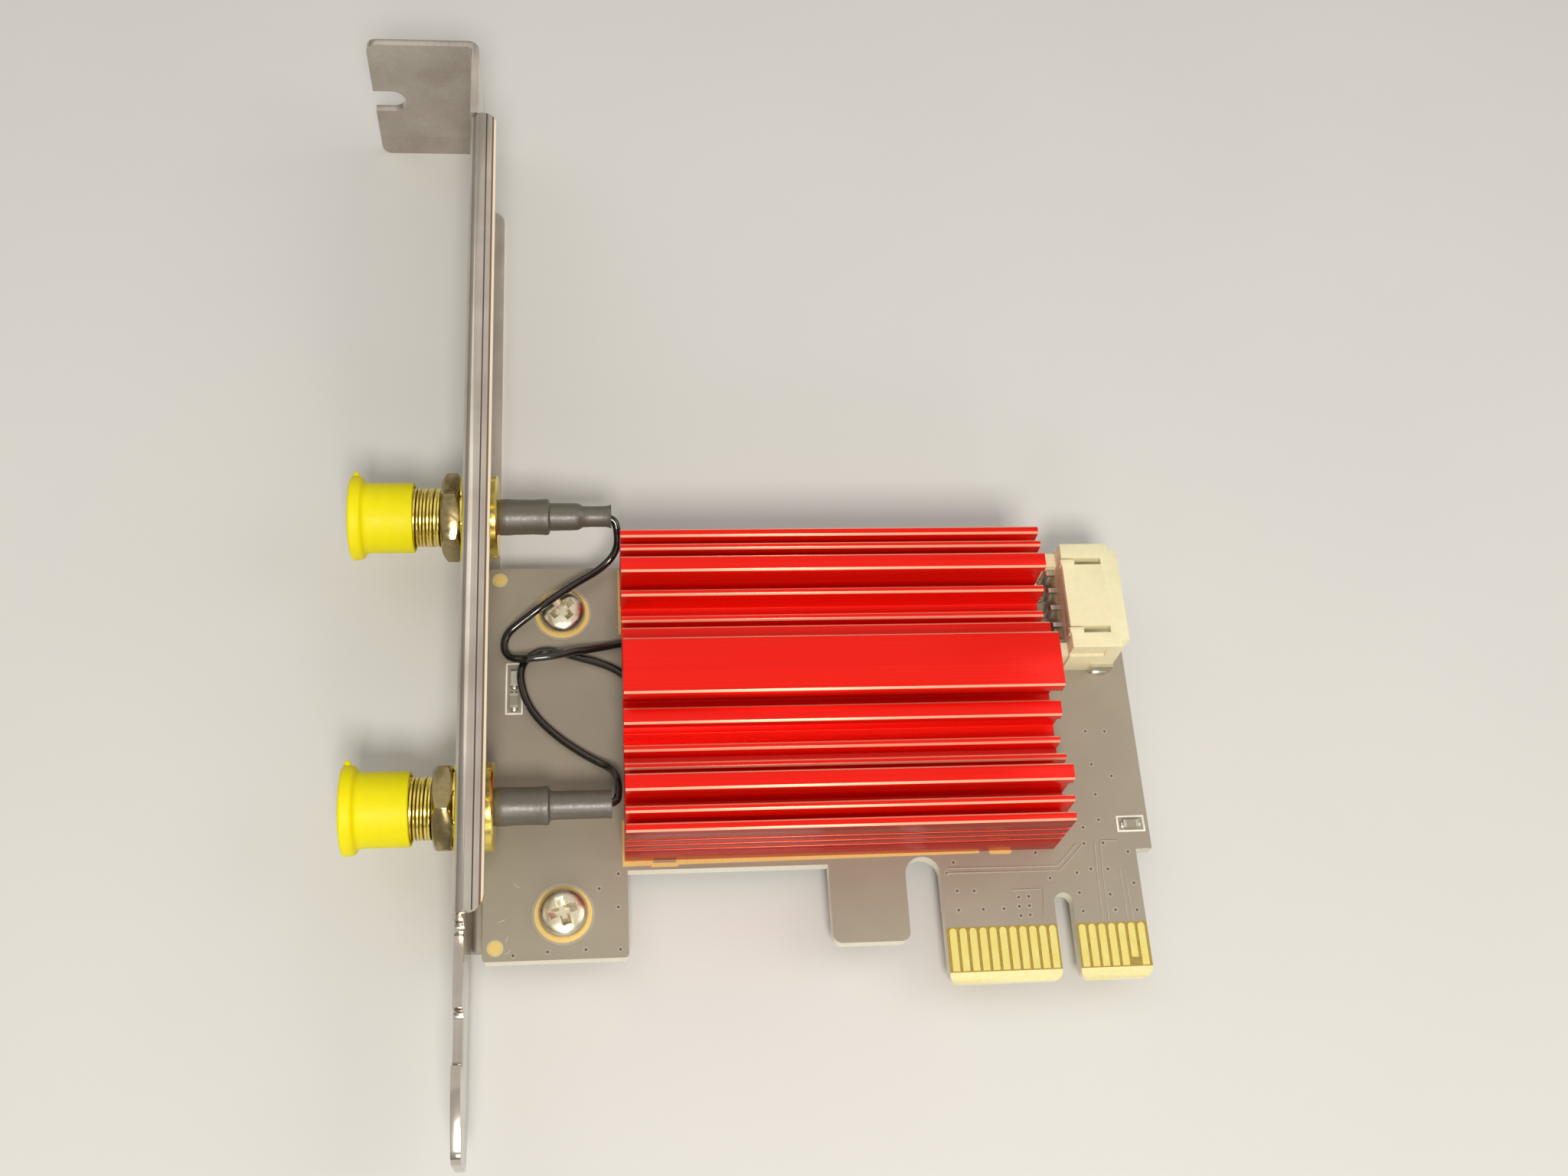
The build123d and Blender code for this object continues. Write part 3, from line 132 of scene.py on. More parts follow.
cut = add(tree, "ShaderNodeMix", {0: cloth.outputs["Fac"], 6: linear("#d6d1bc"), 7: linear("#f0ecdc")},
          data_type="RGBA")
place = add(tree, "ShaderNodeSeparateXYZ", {0: coords.outputs["Object"]})
low = add(tree, "ShaderNodeMath", {0: place.outputs["Y"], 1: BARE_BELOW * MM}, operation="LESS_THAN")
past = add(tree, "ShaderNodeMath", {0: place.outputs["X"], 1: BARE_FROM * MM}, operation="GREATER_THAN")
tongue = add(tree, "ShaderNodeMath", {0: low.outputs[0], 1: past.outputs[0]}, operation="MULTIPLY")
top = add(tree, "ShaderNodeMix", {0: tongue.outputs[0], 6: mask.outputs[2], 7: bare.outputs[2]}, data_type="RGBA")
across = add(tree, "ShaderNodeSeparateXYZ", {0: coords.outputs["Normal"]})
level = add(tree, "ShaderNodeMath", {0: across.outputs["Z"]}, operation="ABSOLUTE")
sloped = add(tree, "ShaderNodeMath", {0: level.outputs[0], 1: 0.5}, operation="GREATER_THAN")
flat = add(tree, "ShaderNodeMath", {0: level.outputs[0], 1: 0.95}, operation="GREATER_THAN")
side = add(tree, "ShaderNodeMix", {0: sloped.outputs[0], 6: cut.outputs[2], 7: bevel.outputs[2]}, data_type="RGBA")
skin = add(tree, "ShaderNodeMix", {0: flat.outputs[0], 6: side.outputs[2], 7: top.outputs[2]}, data_type="RGBA")
gloss = add(tree, "ShaderNodeMapRange", {"Value": fleck.outputs["Fac"], "To Min": 0.36, "To Max": 0.52})
relief = add(tree, "ShaderNodeBump", {"Height": fleck.outputs["Fac"], "Strength": 0.35, "Distance": 0.01 * MM})
tree.links.new(skin.outputs[2], shader.inputs["Base Color"])
tree.links.new(gloss.outputs[0], shader.inputs["Roughness"])
tree.links.new(relief.outputs[0], shader.inputs["Normal"])


def put(name, data):
    """A new object in the scene that shows the given data."""
    made = bpy.data.objects.new(name, data)
    bpy.context.scene.collection.objects.link(made)
    return made


def solid(name, shape, sharp=0):
    """An object from a closed mesh, its faces outward. With an angle in degrees, gentler edges are smoothed."""
    bmesh.ops.recalc_face_normals(shape, faces=shape.faces)
    mesh = bpy.data.meshes.new(name)
    shape.to_mesh(mesh)
    shape.free()
    if sharp:
        mesh.shade_smooth()
        mesh.set_sharp_from_angle(angle=math.radians(sharp))
    return put(name, mesh)


def settled(raw, name):
    """The evaluated result of a raw object, kept as a plain mesh at the origin."""
    bpy.context.view_layer.update()
    graph = bpy.context.evaluated_depsgraph_get()
    mesh = bpy.data.meshes.new_from_object(raw.evaluated_get(graph), depsgraph=graph)
    bpy.data.objects.remove(raw)
    return put(name, mesh)


def softened(node, name, width=0.0, segments=2, sharp=35, cutter=None):
    """A CAD node's solid as one closed mesh, cut by an object and with its sharp edges broken by millimetres."""
    mesh = nodes[node].data.copy()
    shape = bmesh.new()
    shape.from_mesh(mesh)
    bmesh.ops.remove_doubles(shape, verts=shape.verts, dist=1e-6)
    bmesh.ops.dissolve_limit(shape, angle_limit=math.radians(1), verts=shape.verts, edges=shape.edges)
    shape.to_mesh(mesh)
    shape.free()
    raw = put(name + "_sharp", mesh)
    if cutter:
        taken = raw.modifiers.new("cut", "BOOLEAN")
        taken.operation = "DIFFERENCE"
        taken.object = cutter
    if width:
        bevel = raw.modifiers.new("broken_edges", "BEVEL")
        bevel.width = width * MM
        bevel.segments = segments
        bevel.limit_method = "ANGLE"
        bevel.angle_limit = math.radians(sharp)
        bevel.use_clamp_overlap = True
    made = settled(raw, name)
    if cutter:
        bpy.data.objects.remove(cutter)
    made.data.shade_smooth()
    made.data.set_sharp_from_angle(angle=math.radians(sharp))
    return made


def prisms(name, outlines, low, high):
    """An object of upright prisms on closed outlines, to cut with. Sizes in millimetres."""
    shape = bmesh.new()
    for outline in outlines:
        rings = [[shape.verts.new((x * MM, y * MM, z * MM)) for x, y in outline] for z in (low, high)]
        for ring in rings:
            shape.faces.new(ring)
        for k in range(len(outline)):
            n = (k + 1) % len(outline)
            shape.faces.new((rings[0][k], rings[0][n], rings[1][n], rings[1][k]))
    return solid(name, shape)


# The corners beside the key notch are rounded like the outer ones.
KEY_HALF = 0.95
FOOT_R = 0.8
CUT_PAST = 0.3  # the cutter reaches this far past the edge
CUT_LOW, CUT_HIGH = -2.0, 0.4
corners = []
for side in (-1, 1):
    mid = side * (KEY_HALF + FOOT_R)
    turns = [math.radians(10 * k) for k in range(10)]
    corners.append([(mid - side * FOOT_R * math.cos(a), FOOT_R - FOOT_R * math.sin(a)) for a in turns]
                   + [(mid, -CUT_PAST), (0.1 * side, -CUT_PAST), (0.1 * side, FOOT_R)])
board = softened("circuit_board", "printed_board", cutter=prisms("key_corners", corners, CUT_LOW, CUT_HIGH))
dress(board, board_finish)
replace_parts(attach(board, "card"), "circuit_board")


# Gold areas: copper plated with nickel and a thin gold. The edge contacts are the pads that slide into the slot,
# the ground bands lie under the heatsink's rails, and the rings carry the screw heads.

gold_plate = grained("hard_gold", "#ffe97c", "#fff5a4", 1.5, (0.28, 0.36), Metallic=1.0)
dull_gold = grained("immersion_gold", "#e2bd66", "#f2da90", 0.3, (0.45, 0.58), bump=0.004, Metallic=0.15)
dress(nodes["edge_contacts"], gold_plate)
dress(nodes["ground_plating"], dull_gold)


def grower(name, **inputs):
    """A node tree with a start geometry and the named inputs. Gives the tree and its input node."""
    tree = bpy.data.node_groups.new(name, "GeometryNodeTree")
    tree.interface.new_socket("Start", in_out="INPUT", socket_type="NodeSocketGeometry")
    for label, kind in inputs.items():
        tree.interface.new_socket(label, in_out="INPUT", socket_type="NodeSocket" + kind)
    tree.interface.new_socket("Result", in_out="OUTPUT", socket_type="NodeSocketGeometry")
    return tree, add(tree, "NodeGroupInput")


def close(tree, start, shape):
    """Ends a node tree: instances made real, then the finish set."""
    real = add(tree, "GeometryNodeRealizeInstances", {"Geometry": shape})
    done = add(tree, "GeometryNodeSetMaterial", {"Geometry": real.outputs[0], "Material": start.outputs["Finish"]})
    add(tree, "NodeGroupOutput", {"Result": done.outputs[0]})


def grown(name, mesh, tree, **values):
    """Runs a node tree on a start mesh, with its inputs set by identifier."""
    raw = put(name + "_start", mesh)
    modifier = raw.modifiers.new("grow", "NODES")
    modifier.node_group = tree
    for item in tree.interface.items_tree:
        if item.name in values:
            modifier[item.identifier] = values[item.name]
    return settled(raw, name)


def lines(name, routes):
    """A mesh of open polylines, in millimetres. A route whose ends meet is closed."""
    points, edges = [], []
    for route in routes:
        closed = route[0] == route[-1]
        own = route[:-1] if closed else route
        first = len(points)
        points += [[c * MM for c in p] for p in own]
        edges += [(first + k, first + k + 1) for k in range(len(own) - 1)]
        if closed:
            edges.append((len(points) - 1, first))
    mesh = bpy.data.meshes.new(name)
    mesh.from_pydata(points, edges, [])
    return mesh


# Traces, screen print and vias: copper traces show as faint ridges under the mask, white ink frames the small parts,
# and plated holes are filled with mask in a slightly raised pad; the shade in each dimple is painted as a dark disc.

strips, start = grower("laid_strips", Width="Float", Height="Float", Finish="Material")
path = add(strips, "GeometryNodeMeshToCurve", {"Mesh": start.outputs["Start"]})
level = add(strips, "GeometryNodeSetCurveNormal", {"Curve": path.outputs[0]}, mode="Z_UP")
section = add(strips, "GeometryNodeCurvePrimitiveQuadrilateral", {"Width": start.outputs["Width"],
                                                                  "Height": start.outputs["Height"]})
strip = add(strips, "GeometryNodeCurveToMesh", {"Curve": level.outputs[0], "Profile Curve": section.outputs[0],
                                                "Fill Caps": True})
close(strips, start, strip.outputs[0])


def on_board(*points):
    return [(x, y, 0.0) for x, y in points]


def frame_line(x0, x1, y0, y1):
    return on_board((x0, y0), (x1, y0), (x1, y1), (x0, y1), (x0, y0))


over_copper = grained("mask_over_copper", "#9f9686", "#b5ac9a", 1.2, (0.36, 0.48), bump=0.003)
ink = grained("screen_print_ink", "#f3f0de", "#fffdf0", 0.25, (0.5, 0.65), bump=0.006)
scuff = grained("scuffed_mask", "#bdb5a2", "#d3ccb8", 0.2, (0.5, 0.65))
TRACES = [on_board((-11.5, 10.94), (0.05, 10.87), (2.6, 13.4)), on_board((-11.4, 11.42), (-0.15, 11.35), (2.1, 13.6)),
          on_board((4.0, 13.8), (3.8, 10.4), (3.75, 5.6)), on_board((4.6, 13.8), (4.4, 10.4), (4.35, 5.6)),
          on_board((6.2, 10.8), (6.3, 5.6)), on_board((6.7, 10.8), (6.85, 5.6)), on_board((4.65, 13.85), (6.35, 13.8)),
          on_board((-5.05, 9.0), (-2.1, 9.05), (-2.25, 5.65)), on_board((0.6, 33.0), (2.6, 33.0)),
          on_board((0.6, 32.4), (2.6, 32.4)), on_board((0.6, 31.8), (2.6, 31.8))]
SCUFFS = [on_board((-54.2, 11.26), (-53.95, 10.95), (-53.61, 10.79)), on_board((-54.75, 6.07), (-54.96, 5.49)),
          on_board((-54.45, 4.8), (-54.65, 4.5), (-55.03, 4.38)), on_board((-55.6, 7.5), (-55.0, 7.7))]
for name, routes, width, height, finish in (
        ("board_traces", TRACES, 0.2, 0.05, over_copper), ("board_scuffs", SCUFFS, 0.07, 0.012, scuff),
        ("screen_print", [frame_line(-55.15, -53.56, 28.86, 34.37), frame_line(6.64, 9.38, 14.77, 16.33)],
         0.26, 0.04, ink)):
    laid = grown(name, lines(name, routes), strips, Width=width * MM, Height=height * MM, Finish=finish)
    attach(laid, "card")

# Copies of one shape at given places, used for what repeats on the card.
copies, start = grower("placed_copies", Shape="Object", Finish="Material")
shape = add(copies, "GeometryNodeObjectInfo", {"Object": start.outputs["Shape"]})
placed = add(copies, "GeometryNodeInstanceOnPoints", {"Points": start.outputs["Start"],
                                                      "Instance": shape.outputs["Geometry"]})
close(copies, start, placed.outputs[0])


def repeat(name, shape, places, finish):
    """Copies of a shape object at places in millimetres. The shape itself is removed."""
    mesh = bpy.data.meshes.new(name)
    mesh.from_pydata([[c * MM for c in p] for p in places], [], [])
    made = grown(name, mesh, copies, Shape=shape, Finish=finish)
    bpy.data.objects.remove(shape)
    return made


def washer_shape(name, outer, inner, height, steps=24):
    """A flat ring, or a disc where inner is 0, standing on the board. Sizes in millimetres."""
    shape = bmesh.new()
    turns = [2 * math.pi * k / steps for k in range(steps)]
    rings = [[shape.verts.new((r * MM * math.cos(a), r * MM * math.sin(a), z * MM)) for a in turns]
             for r, z in ((inner, 0), (outer, 0), (outer, height), (inner, height)) if r]
    pairs = list(zip(rings, rings[1:])) + ([(rings[-1], rings[0])] if inner else [])
    for one, two in pairs:
        for k in range(steps):
            shape.faces.new((one[k], one[(k + 1) % steps], two[(k + 1) % steps], two[k]))
    if not inner:
        for ring in rings:
            shape.faces.new(ring)
    return solid(name, shape)


VIAS = on_board(
    (2.86, 13.58), (4.87, 13.6), (-2.25, 12.78), (-10.74, 12.02), (3.22, 10.93), (4.97, 10.87), (1.75, 10.58),
    (-1.08, 10.12), (-11.5, 10.94), (-10.65, 9.11), (-8.95, 9.05), (7.46, 9.36), (1.72, 8.53), (4.84, 8.26),
    (-4.51, 8.27), (-3.49, 8.32), (-10.69, 7.17), (-8.22, 7.16), (-6.12, 7.16), (-4.55, 7.34), (-3.53, 7.38),
    (-4.5, 6.41), (-3.56, 6.45), (1.86, 6.65), (5.17, 6.68), (7.37, 6.6), (7.3, 12.6), (3.01, 15.27), (4.72, 16.04),
    (4.64, 25.63), (6.7, 25.58), (6.75, 20.68), (4.77, 18.74), (4.81, 21.99), (-45.99, 10.48), (-44.16, 8.59),
    (-47.32, 4.54), (-50.96, 4.44), (-54.23, 4.2), (-44.02, 4.45), (-44.1, 11.9))
# Painted shade: a dark disc over each via stands for the shade in its dimple.
via_painted_shade = grained("painted_via_dimple_shade", "#4a443b", "#5d564b", 0.2, (0.4, 0.55))
bare_ring = grained("bare_laminate_ring", "#c2b784", "#d8cf9f", 0.3, (0.55, 0.7))
pads = repeat("via_pads", washer_shape("via_pad", 0.3, 0.13, 0.012), VIAS, over_copper)
fills = repeat("via_fills", washer_shape("via_fill", 0.14, 0, 0.006), VIAS, via_painted_shade)
rings = repeat("test_pad_rings", washer_shape("pad_ring", 0.8, 0.61, 0.008), on_board((-55.93, 4.95), (-55.93, 43.9)),
               bare_ring)
rims = repeat("mask_on_ring_edges", washer_shape("mask_rim", 3.06, 2.8, 0.066, steps=64),
              on_board((-49.45, 8.05), (-49.45, 39.96)), over_copper)
for piece in (pads, fills, rings, rims):
    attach(piece, "card")


# Radio module under the heatsink: a small board with a tinned shield can, pushed into a moulded socket and held by
# a post and a screw. A soft grey pad carries its heat to the heatsink.

module_mask = grained("module_solder_mask", "#1d3a2a", "#264a36", 1.2, (0.35, 0.5), bump=0.004)
shield_steel = grained("tinned_shield_steel", "#a9aaa8", "#c6c7c4", 0.8, (0.25, 0.4), bump=0.003, Metallic=1.0)
pad_rubber = grained("silicone_pad", "#6f7478", "#878c90", 0.5, (0.7, 0.85), bump=0.02)
socket_resin = grained("glass_filled_nylon", "#141413", "#22211f", 0.4, (0.45, 0.6), bump=0.008)
tin = grained("matte_tin", "#b9b6ad", "#d6d3ca", 0.3, (0.3, 0.45), bump=0.004, Metallic=1.0)
dress(nodes["module_board"], module_mask)
dress(nodes["module_shield"], shield_steel)
dress(nodes["thermal_pad"], pad_rubber)
dress(nodes["module_socket"], socket_resin)
dress(nodes["socket_terminals"], tin)
dress(nodes["module_standoff"], tin)
screw_steel = grained("nickel_plated_screw", "#d8cfb4", "#f3ebd4", 0.5, (0.26, 0.38), bump=0.002, Metallic=1.0)
module_screw = dress(softened("module_screw", "module_screw_head", 0.05), screw_steel)
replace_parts(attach(module_screw, "card"), "module_screw")


# Heatsink: an extruded aluminium profile, cut to length and dyed red when it was anodised. The die leaves fine
# lines along its length. The upright faces of the outer walls are painted a darker red as shade, and the slanted
# edges are painted pale as highlights. Four screws from behind hold it.

HEATSINK_MID_Y = 29.0
OUTER_WALL = 15.6  # from the middle, past which only the outer walls lie
red, tree, shader = shader_of("red_anodised_aluminium", Metallic=0.35, Specular_IOR_Level=0.2, Coat_Weight=0.08,
                              Coat_Roughness=0.1)
coords = add(tree, "ShaderNodeTexCoord")
drawn = add(tree, "ShaderNodeMapping", {"Vector": coords.outputs["Object"],
                                        "Scale": (1 / (90 * MM), 1 / (0.42 * MM), 1 / (0.42 * MM))})
lines_along = add(tree, "ShaderNodeTexNoise", {"Vector": drawn.outputs[0], "Scale": 1.0, "Detail": 3.0})
dye = add(tree, "ShaderNodeMix", {0: lines_along.outputs["Fac"], 6: linear("#e5130a"), 7: linear("#f71f0c")},
          data_type="RGBA")
groove = add(tree, "ShaderNodeMapRange", {"Value": lines_along.outputs["Fac"], "From Min": 0.42, "From Max": 0.56})
# Painted shade: the upright faces of the outer walls get a darker red, with the die lines in it.
wall_shade_and_die_lines = add(tree, "ShaderNodeMix", {0: groove.outputs[0], 6: linear("#8e130c"), 7: linear("#bf1a10")},
                data_type="RGBA")
facing = add(tree, "ShaderNodeSeparateXYZ", {0: coords.outputs["Normal"]})
sideways = add(tree, "ShaderNodeMath", {0: facing.outputs["Y"]}, operation="ABSOLUTE")
upright = add(tree, "ShaderNodeMath", {0: sideways.outputs[0], 1: 0.9}, operation="GREATER_THAN")
along = add(tree, "ShaderNodeSeparateXYZ", {0: coords.outputs["Object"]})
to_mid = add(tree, "ShaderNodeMath", {0: along.outputs["Y"], 1: HEATSINK_MID_Y * MM}, operation="SUBTRACT")
off_mid = add(tree, "ShaderNodeMath", {0: to_mid.outputs[0]}, operation="ABSOLUTE")
outermost = add(tree, "ShaderNodeMath", {0: off_mid.outputs[0], 1: OUTER_WALL * MM}, operation="GREATER_THAN")
outer_wall = add(tree, "ShaderNodeMath", {0: upright.outputs[0], 1: outermost.outputs[0]}, operation="MULTIPLY")
walls = add(tree, "ShaderNodeMix", {0: outer_wall.outputs[0], 6: dye.outputs[2], 7: wall_shade_and_die_lines.outputs[2]},
            data_type="RGBA")
slope = add(tree, "ShaderNodeMath", {0: facing.outputs["Y"], 1: facing.outputs["Z"]}, operation="MULTIPLY")
steep = add(tree, "ShaderNodeMath", {0: slope.outputs[0]}, operation="ABSOLUTE")
edge = add(tree, "ShaderNodeMapRange", {"Value": steep.outputs[0], "From Min": 0.3, "From Max": 0.48})
# Painted highlight: the slanted edges are mixed towards pale salmon.
painted_edge_highlight = add(tree, "ShaderNodeMix", {0: edge.outputs[0], 6: walls.outputs[2], 7: linear("#ffbd9b")}, data_type="RGBA")
gloss = add(tree, "ShaderNodeMapRange", {"Value": lines_along.outputs["Fac"], "From Min": 0.3, "From Max": 0.7,
                                         "To Min": 0.22, "To Max": 0.32})
relief = add(tree, "ShaderNodeBump", {"Height": lines_along.outputs["Fac"], "Strength": 0.5, "Distance": 0.003 * MM})
tree.links.new(painted_edge_highlight.outputs[2], shader.inputs["Base Color"])
tree.links.new(gloss.outputs[0], shader.inputs["Roughness"])
tree.links.new(relief.outputs[0], shader.inputs["Normal"])
heatsink = dress(softened("heatsink", "heatsink_extrusion", 0.06), red)
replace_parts(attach(heatsink, "card"), "heatsink")
rail_screws = dress(softened("heatsink_screws", "heatsink_screw_set", 0.05), screw_steel)
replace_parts(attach(rail_screws, "card"), "heatsink_screws")


# Small parts on the board: two chip resistors with glazed ceramic bodies and a status light of clear epoxy.
# Each is soldered by its tinned ends, with a low bead of solder at every end.

chip_glaze = grained("glazed_resistor_body", "#8b8773", "#a29d88", 0.2, (0.25, 0.4), bump=0.003)
light_epoxy = grained("clear_epoxy_lens", "#cfc9b4", "#e9e4d2", 0.3, (0.12, 0.2), Transmission_Weight=0.35, IOR=1.5)
dress(nodes["chip_resistors"], chip_glaze)
dress(nodes["chip_ends"], tin)
dress(nodes["status_light"], light_epoxy)


def solder_shape(name, reach_x, reach_y, height):
    """A low dome of solder standing on the board. Sizes in millimetres."""
    shape = bmesh.new()
    size = Matrix.Diagonal((reach_x, reach_y, height, 1))
    bmesh.ops.create_uvsphere(shape, u_segments=16, v_segments=10, radius=MM, matrix=size)
    cut = bmesh.ops.bisect_plane(shape, geom=shape.verts[:] + shape.edges[:] + shape.faces[:], plane_co=(0, 0, 0),
                                 plane_no=(0, 0, 1), clear_inner=True)
    bmesh.ops.holes_fill(shape, edges=[e for e in cut["geom_cut"] if isinstance(e, bmesh.types.BMEdge)])
    return solid(name, shape, sharp=50)


solder = grained("solder", "#cfccc0", "#ebe8dc", 0.3, (0.2, 0.32), bump=0.01, Metallic=1.0)
ends_along_y = repeat("solder_upright", solder_shape("solder_y", 0.42, 0.3, 0.24),
                      on_board((-54.35, 29.3), (-54.35, 31.0), (-54.35, 31.75), (-54.35, 33.45)), solder)
ends_along_x = repeat("solder_level", solder_shape("solder_x", 0.3, 0.42, 0.24),
                      on_board((7.1, 15.43), (8.8, 15.43)), solder)
for piece in (ends_along_y, ends_along_x):
    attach(piece, "card")


# Header: a five-way side-entry housing of natural nylon with square tinned pins and two solder tabs. A narrow gap
# runs beside the rib behind each slot, where the mould's slide met it.

nylon = grained("natural_nylon", "#e2dcae", "#efe9c6", 0.8, (0.36, 0.48), bump=0.006, Subsurface_Weight=0.12,
                Subsurface_Scale=0.4 * MM)
RIB_GAPS = ((35.04, 35.26), (42.88, 43.1))
GAP_FROM, GAP_TO = 2.8, 4.3
GAP_LOW, GAP_HIGH = 5.05, 5.95
gaps = [[(GAP_FROM, y0), (GAP_TO, y0), (GAP_TO, y1), (GAP_FROM, y1)] for y0, y1 in RIB_GAPS]
gap_cutter = prisms("rib_gaps", gaps, GAP_LOW, GAP_HIGH)
housing = dress(softened("header_housing", "header_moulding", 0.1, cutter=gap_cutter), nylon)
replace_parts(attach(housing, "card"), "header_housing")
dress(nodes["header_pins"], tin)
dress(nodes["header_tabs"], solder)
PIN_FOOT_X = 1.35
PIN_ROW = (34.8, 36.8, 38.8, 40.8, 42.8)
feet = repeat("solder_at_pins", solder_shape("solder_pin", 0.8, 0.45, 0.3),
              on_board(*[(PIN_FOOT_X, y) for y in PIN_ROW]), solder)
beads = repeat("solder_at_tabs", solder_shape("solder_tab", 1.15, 0.4, 0.5), on_board((6.95, 32.3), (6.95, 45.0)),
               solder)
for piece in (feet, beads):
    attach(piece, "card")


# Bracket: one piece of sheet steel, folded and plated with bright nickel. Two ears are folded under the board and
# take its screws. The nickel ripples a little. Each flange has a thin dark line painted as the fold's reflection,
# a brownish band just inside its free edge, and its rounded free edge painted near white as a highlight.

BRACKET_MID_Z = 4.89
FLANGE_FROM_MID = 8.9
# On the flanges: a thin dark line painted as the fold's reflection, a brownish band, and a rim painted as a highlight.
REFLECTION_LINE_X = -57.18
REFLECTION_LINE = 0.14
BROWN_BAND_X = -56.5
BROWN_BAND = 0.2
RIM_FROM = -56.4
EAR_TOP = -1.3  # below it the lower flange and the ears are satin
SATIN = 0.55
nickel, tree, shader = shader_of("bright_nickel_on_steel", Metallic=1.0)
coords = add(tree, "ShaderNodeTexCoord").outputs["Object"]
drawn = add(tree, "ShaderNodeMapping", {"Vector": coords, "Scale": (1 / (0.3 * MM), 1 / (40 * MM), 1 / (0.3 * MM))})
streak = add(tree, "ShaderNodeTexNoise", {"Vector": drawn.outputs[0], "Scale": 1.0, "Detail": 3.0})
peel = add(tree, "ShaderNodeTexNoise", {"Vector": coords, "Scale": 1 / (0.3 * MM), "Detail": 2.0})
cloud = add(tree, "ShaderNodeTexNoise", {"Vector": coords, "Scale": 1 / (6 * MM), "Detail": 3.0})
both = add(tree, "ShaderNodeMix", {0: 0.78, 2: streak.outputs["Fac"], 3: cloud.outputs["Fac"]})
steel = add(tree, "ShaderNodeMapRange", {"Value": both.outputs[0], "From Min": 0.35, "From Max": 0.65})
tone = add(tree, "ShaderNodeMix", {0: steel.outputs[0], 6: linear("#b3aba1"), 7: linear("#cbc4ba")}, data_type="RGBA")
place = add(tree, "ShaderNodeSeparateXYZ", {0: coords})
line = add(tree, "ShaderNodeMath", {0: place.outputs["X"], 1: REFLECTION_LINE_X * MM, 2: REFLECTION_LINE / 2 * MM},
           operation="COMPARE")
height = add(tree, "ShaderNodeMath", {0: place.outputs["Z"], 1: BRACKET_MID_Z * MM}, operation="SUBTRACT")
from_mid = add(tree, "ShaderNodeMath", {0: height.outputs[0]}, operation="ABSOLUTE")
outer = add(tree, "ShaderNodeMath", {0: from_mid.outputs[0], 1: FLANGE_FROM_MID * MM}, operation="GREATER_THAN")
painted_line_mask = add(tree, "ShaderNodeMath", {0: line.outputs[0], 1: outer.outputs[0]}, operation="MULTIPLY")
# Painted reflection: a thin dark line along each flange, where the fold reflects.
with_painted_reflection_line = add(tree, "ShaderNodeMix", {0: painted_line_mask.outputs[0], 6: tone.outputs[2], 7: linear("#5f564f")},
              data_type="RGBA")
# A brownish band is painted just inside each flange's free edge.
brown_band_span = add(tree, "ShaderNodeMath", {0: place.outputs["X"], 1: BROWN_BAND_X * MM, 2: BROWN_BAND / 2 * MM}, operation="COMPARE")
band = add(tree, "ShaderNodeMath", {0: brown_band_span.outputs[0], 1: outer.outputs[0]}, operation="MULTIPLY")
with_brown_band = add(tree, "ShaderNodeMix", {0: band.outputs[0], 6: with_painted_reflection_line.outputs[2], 7: linear("#8a6f5f")},
              data_type="RGBA")
# Painted highlight: the rounded free edge of each flange is near white.
rim = add(tree, "ShaderNodeMath", {0: place.outputs["X"], 1: RIM_FROM * MM}, operation="GREATER_THAN")
painted_rim_highlight = add(tree, "ShaderNodeMath", {0: rim.outputs[0], 1: outer.outputs[0]}, operation="MULTIPLY")
surface = add(tree, "ShaderNodeMix", {0: painted_rim_highlight.outputs[0], 6: with_brown_band.outputs[2], 7: linear("#fff2d6")},
              data_type="RGBA")
gloss = add(tree, "ShaderNodeMapRange", {"Value": both.outputs[0], "From Min": 0.35, "From Max": 0.65, "To Min": 0.2,
                                         "To Max": 0.12})
relief = add(tree, "ShaderNodeBump", {"Height": peel.outputs["Fac"], "Strength": 0.5, "Distance": 0.004 * MM})
tree.links.new(surface.outputs[2], shader.inputs["Base Color"])
lower = add(tree, "ShaderNodeMath", {0: place.outputs["Z"], 1: EAR_TOP * MM}, operation="LESS_THAN")
satin = add(tree, "ShaderNodeMix", {0: lower.outputs[0], 2: gloss.outputs[0], 3: SATIN})
tree.links.new(satin.outputs[0], shader.inputs["Roughness"])
tree.links.new(relief.outputs[0], shader.inputs["Normal"])
bracket = dress(softened("bracket", "bracket_sheet", 0.26, segments=4), nickel)
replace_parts(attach(bracket, "card"), "bracket")


def turned(name, profile, y, z, steps=72, closed=False):
    """A piece turned about a line along X from (x, radius) points in millimetres, ends on the axis unless closed."""
    shape = bmesh.new()
    rings = []
    for x, radius in profile:
        if radius == 0:
            rings.append([shape.verts.new((x * MM, y * MM, z * MM))])
            continue
        turns = [2 * math.pi * k / steps for k in range(steps)]
        rings.append([shape.verts.new((x * MM, (y + radius * math.cos(a)) * MM, (z + radius * math.sin(a)) * MM))
                      for a in turns])
    pairs = list(zip(rings, rings[1:])) + ([(rings[-1], rings[0])] if closed else [])
    for one, two in pairs:
        for k in range(steps):
            n = (k + 1) % steps
            corners = [one[k % len(one)], one[n % len(one)], two[n % len(two)], two[k % len(two)]]
            kept = [c for i, c in enumerate(corners) if c not in corners[:i]]
            if len(kept) > 2:
                shape.faces.new(kept)
    return solid(name, shape, sharp=40)


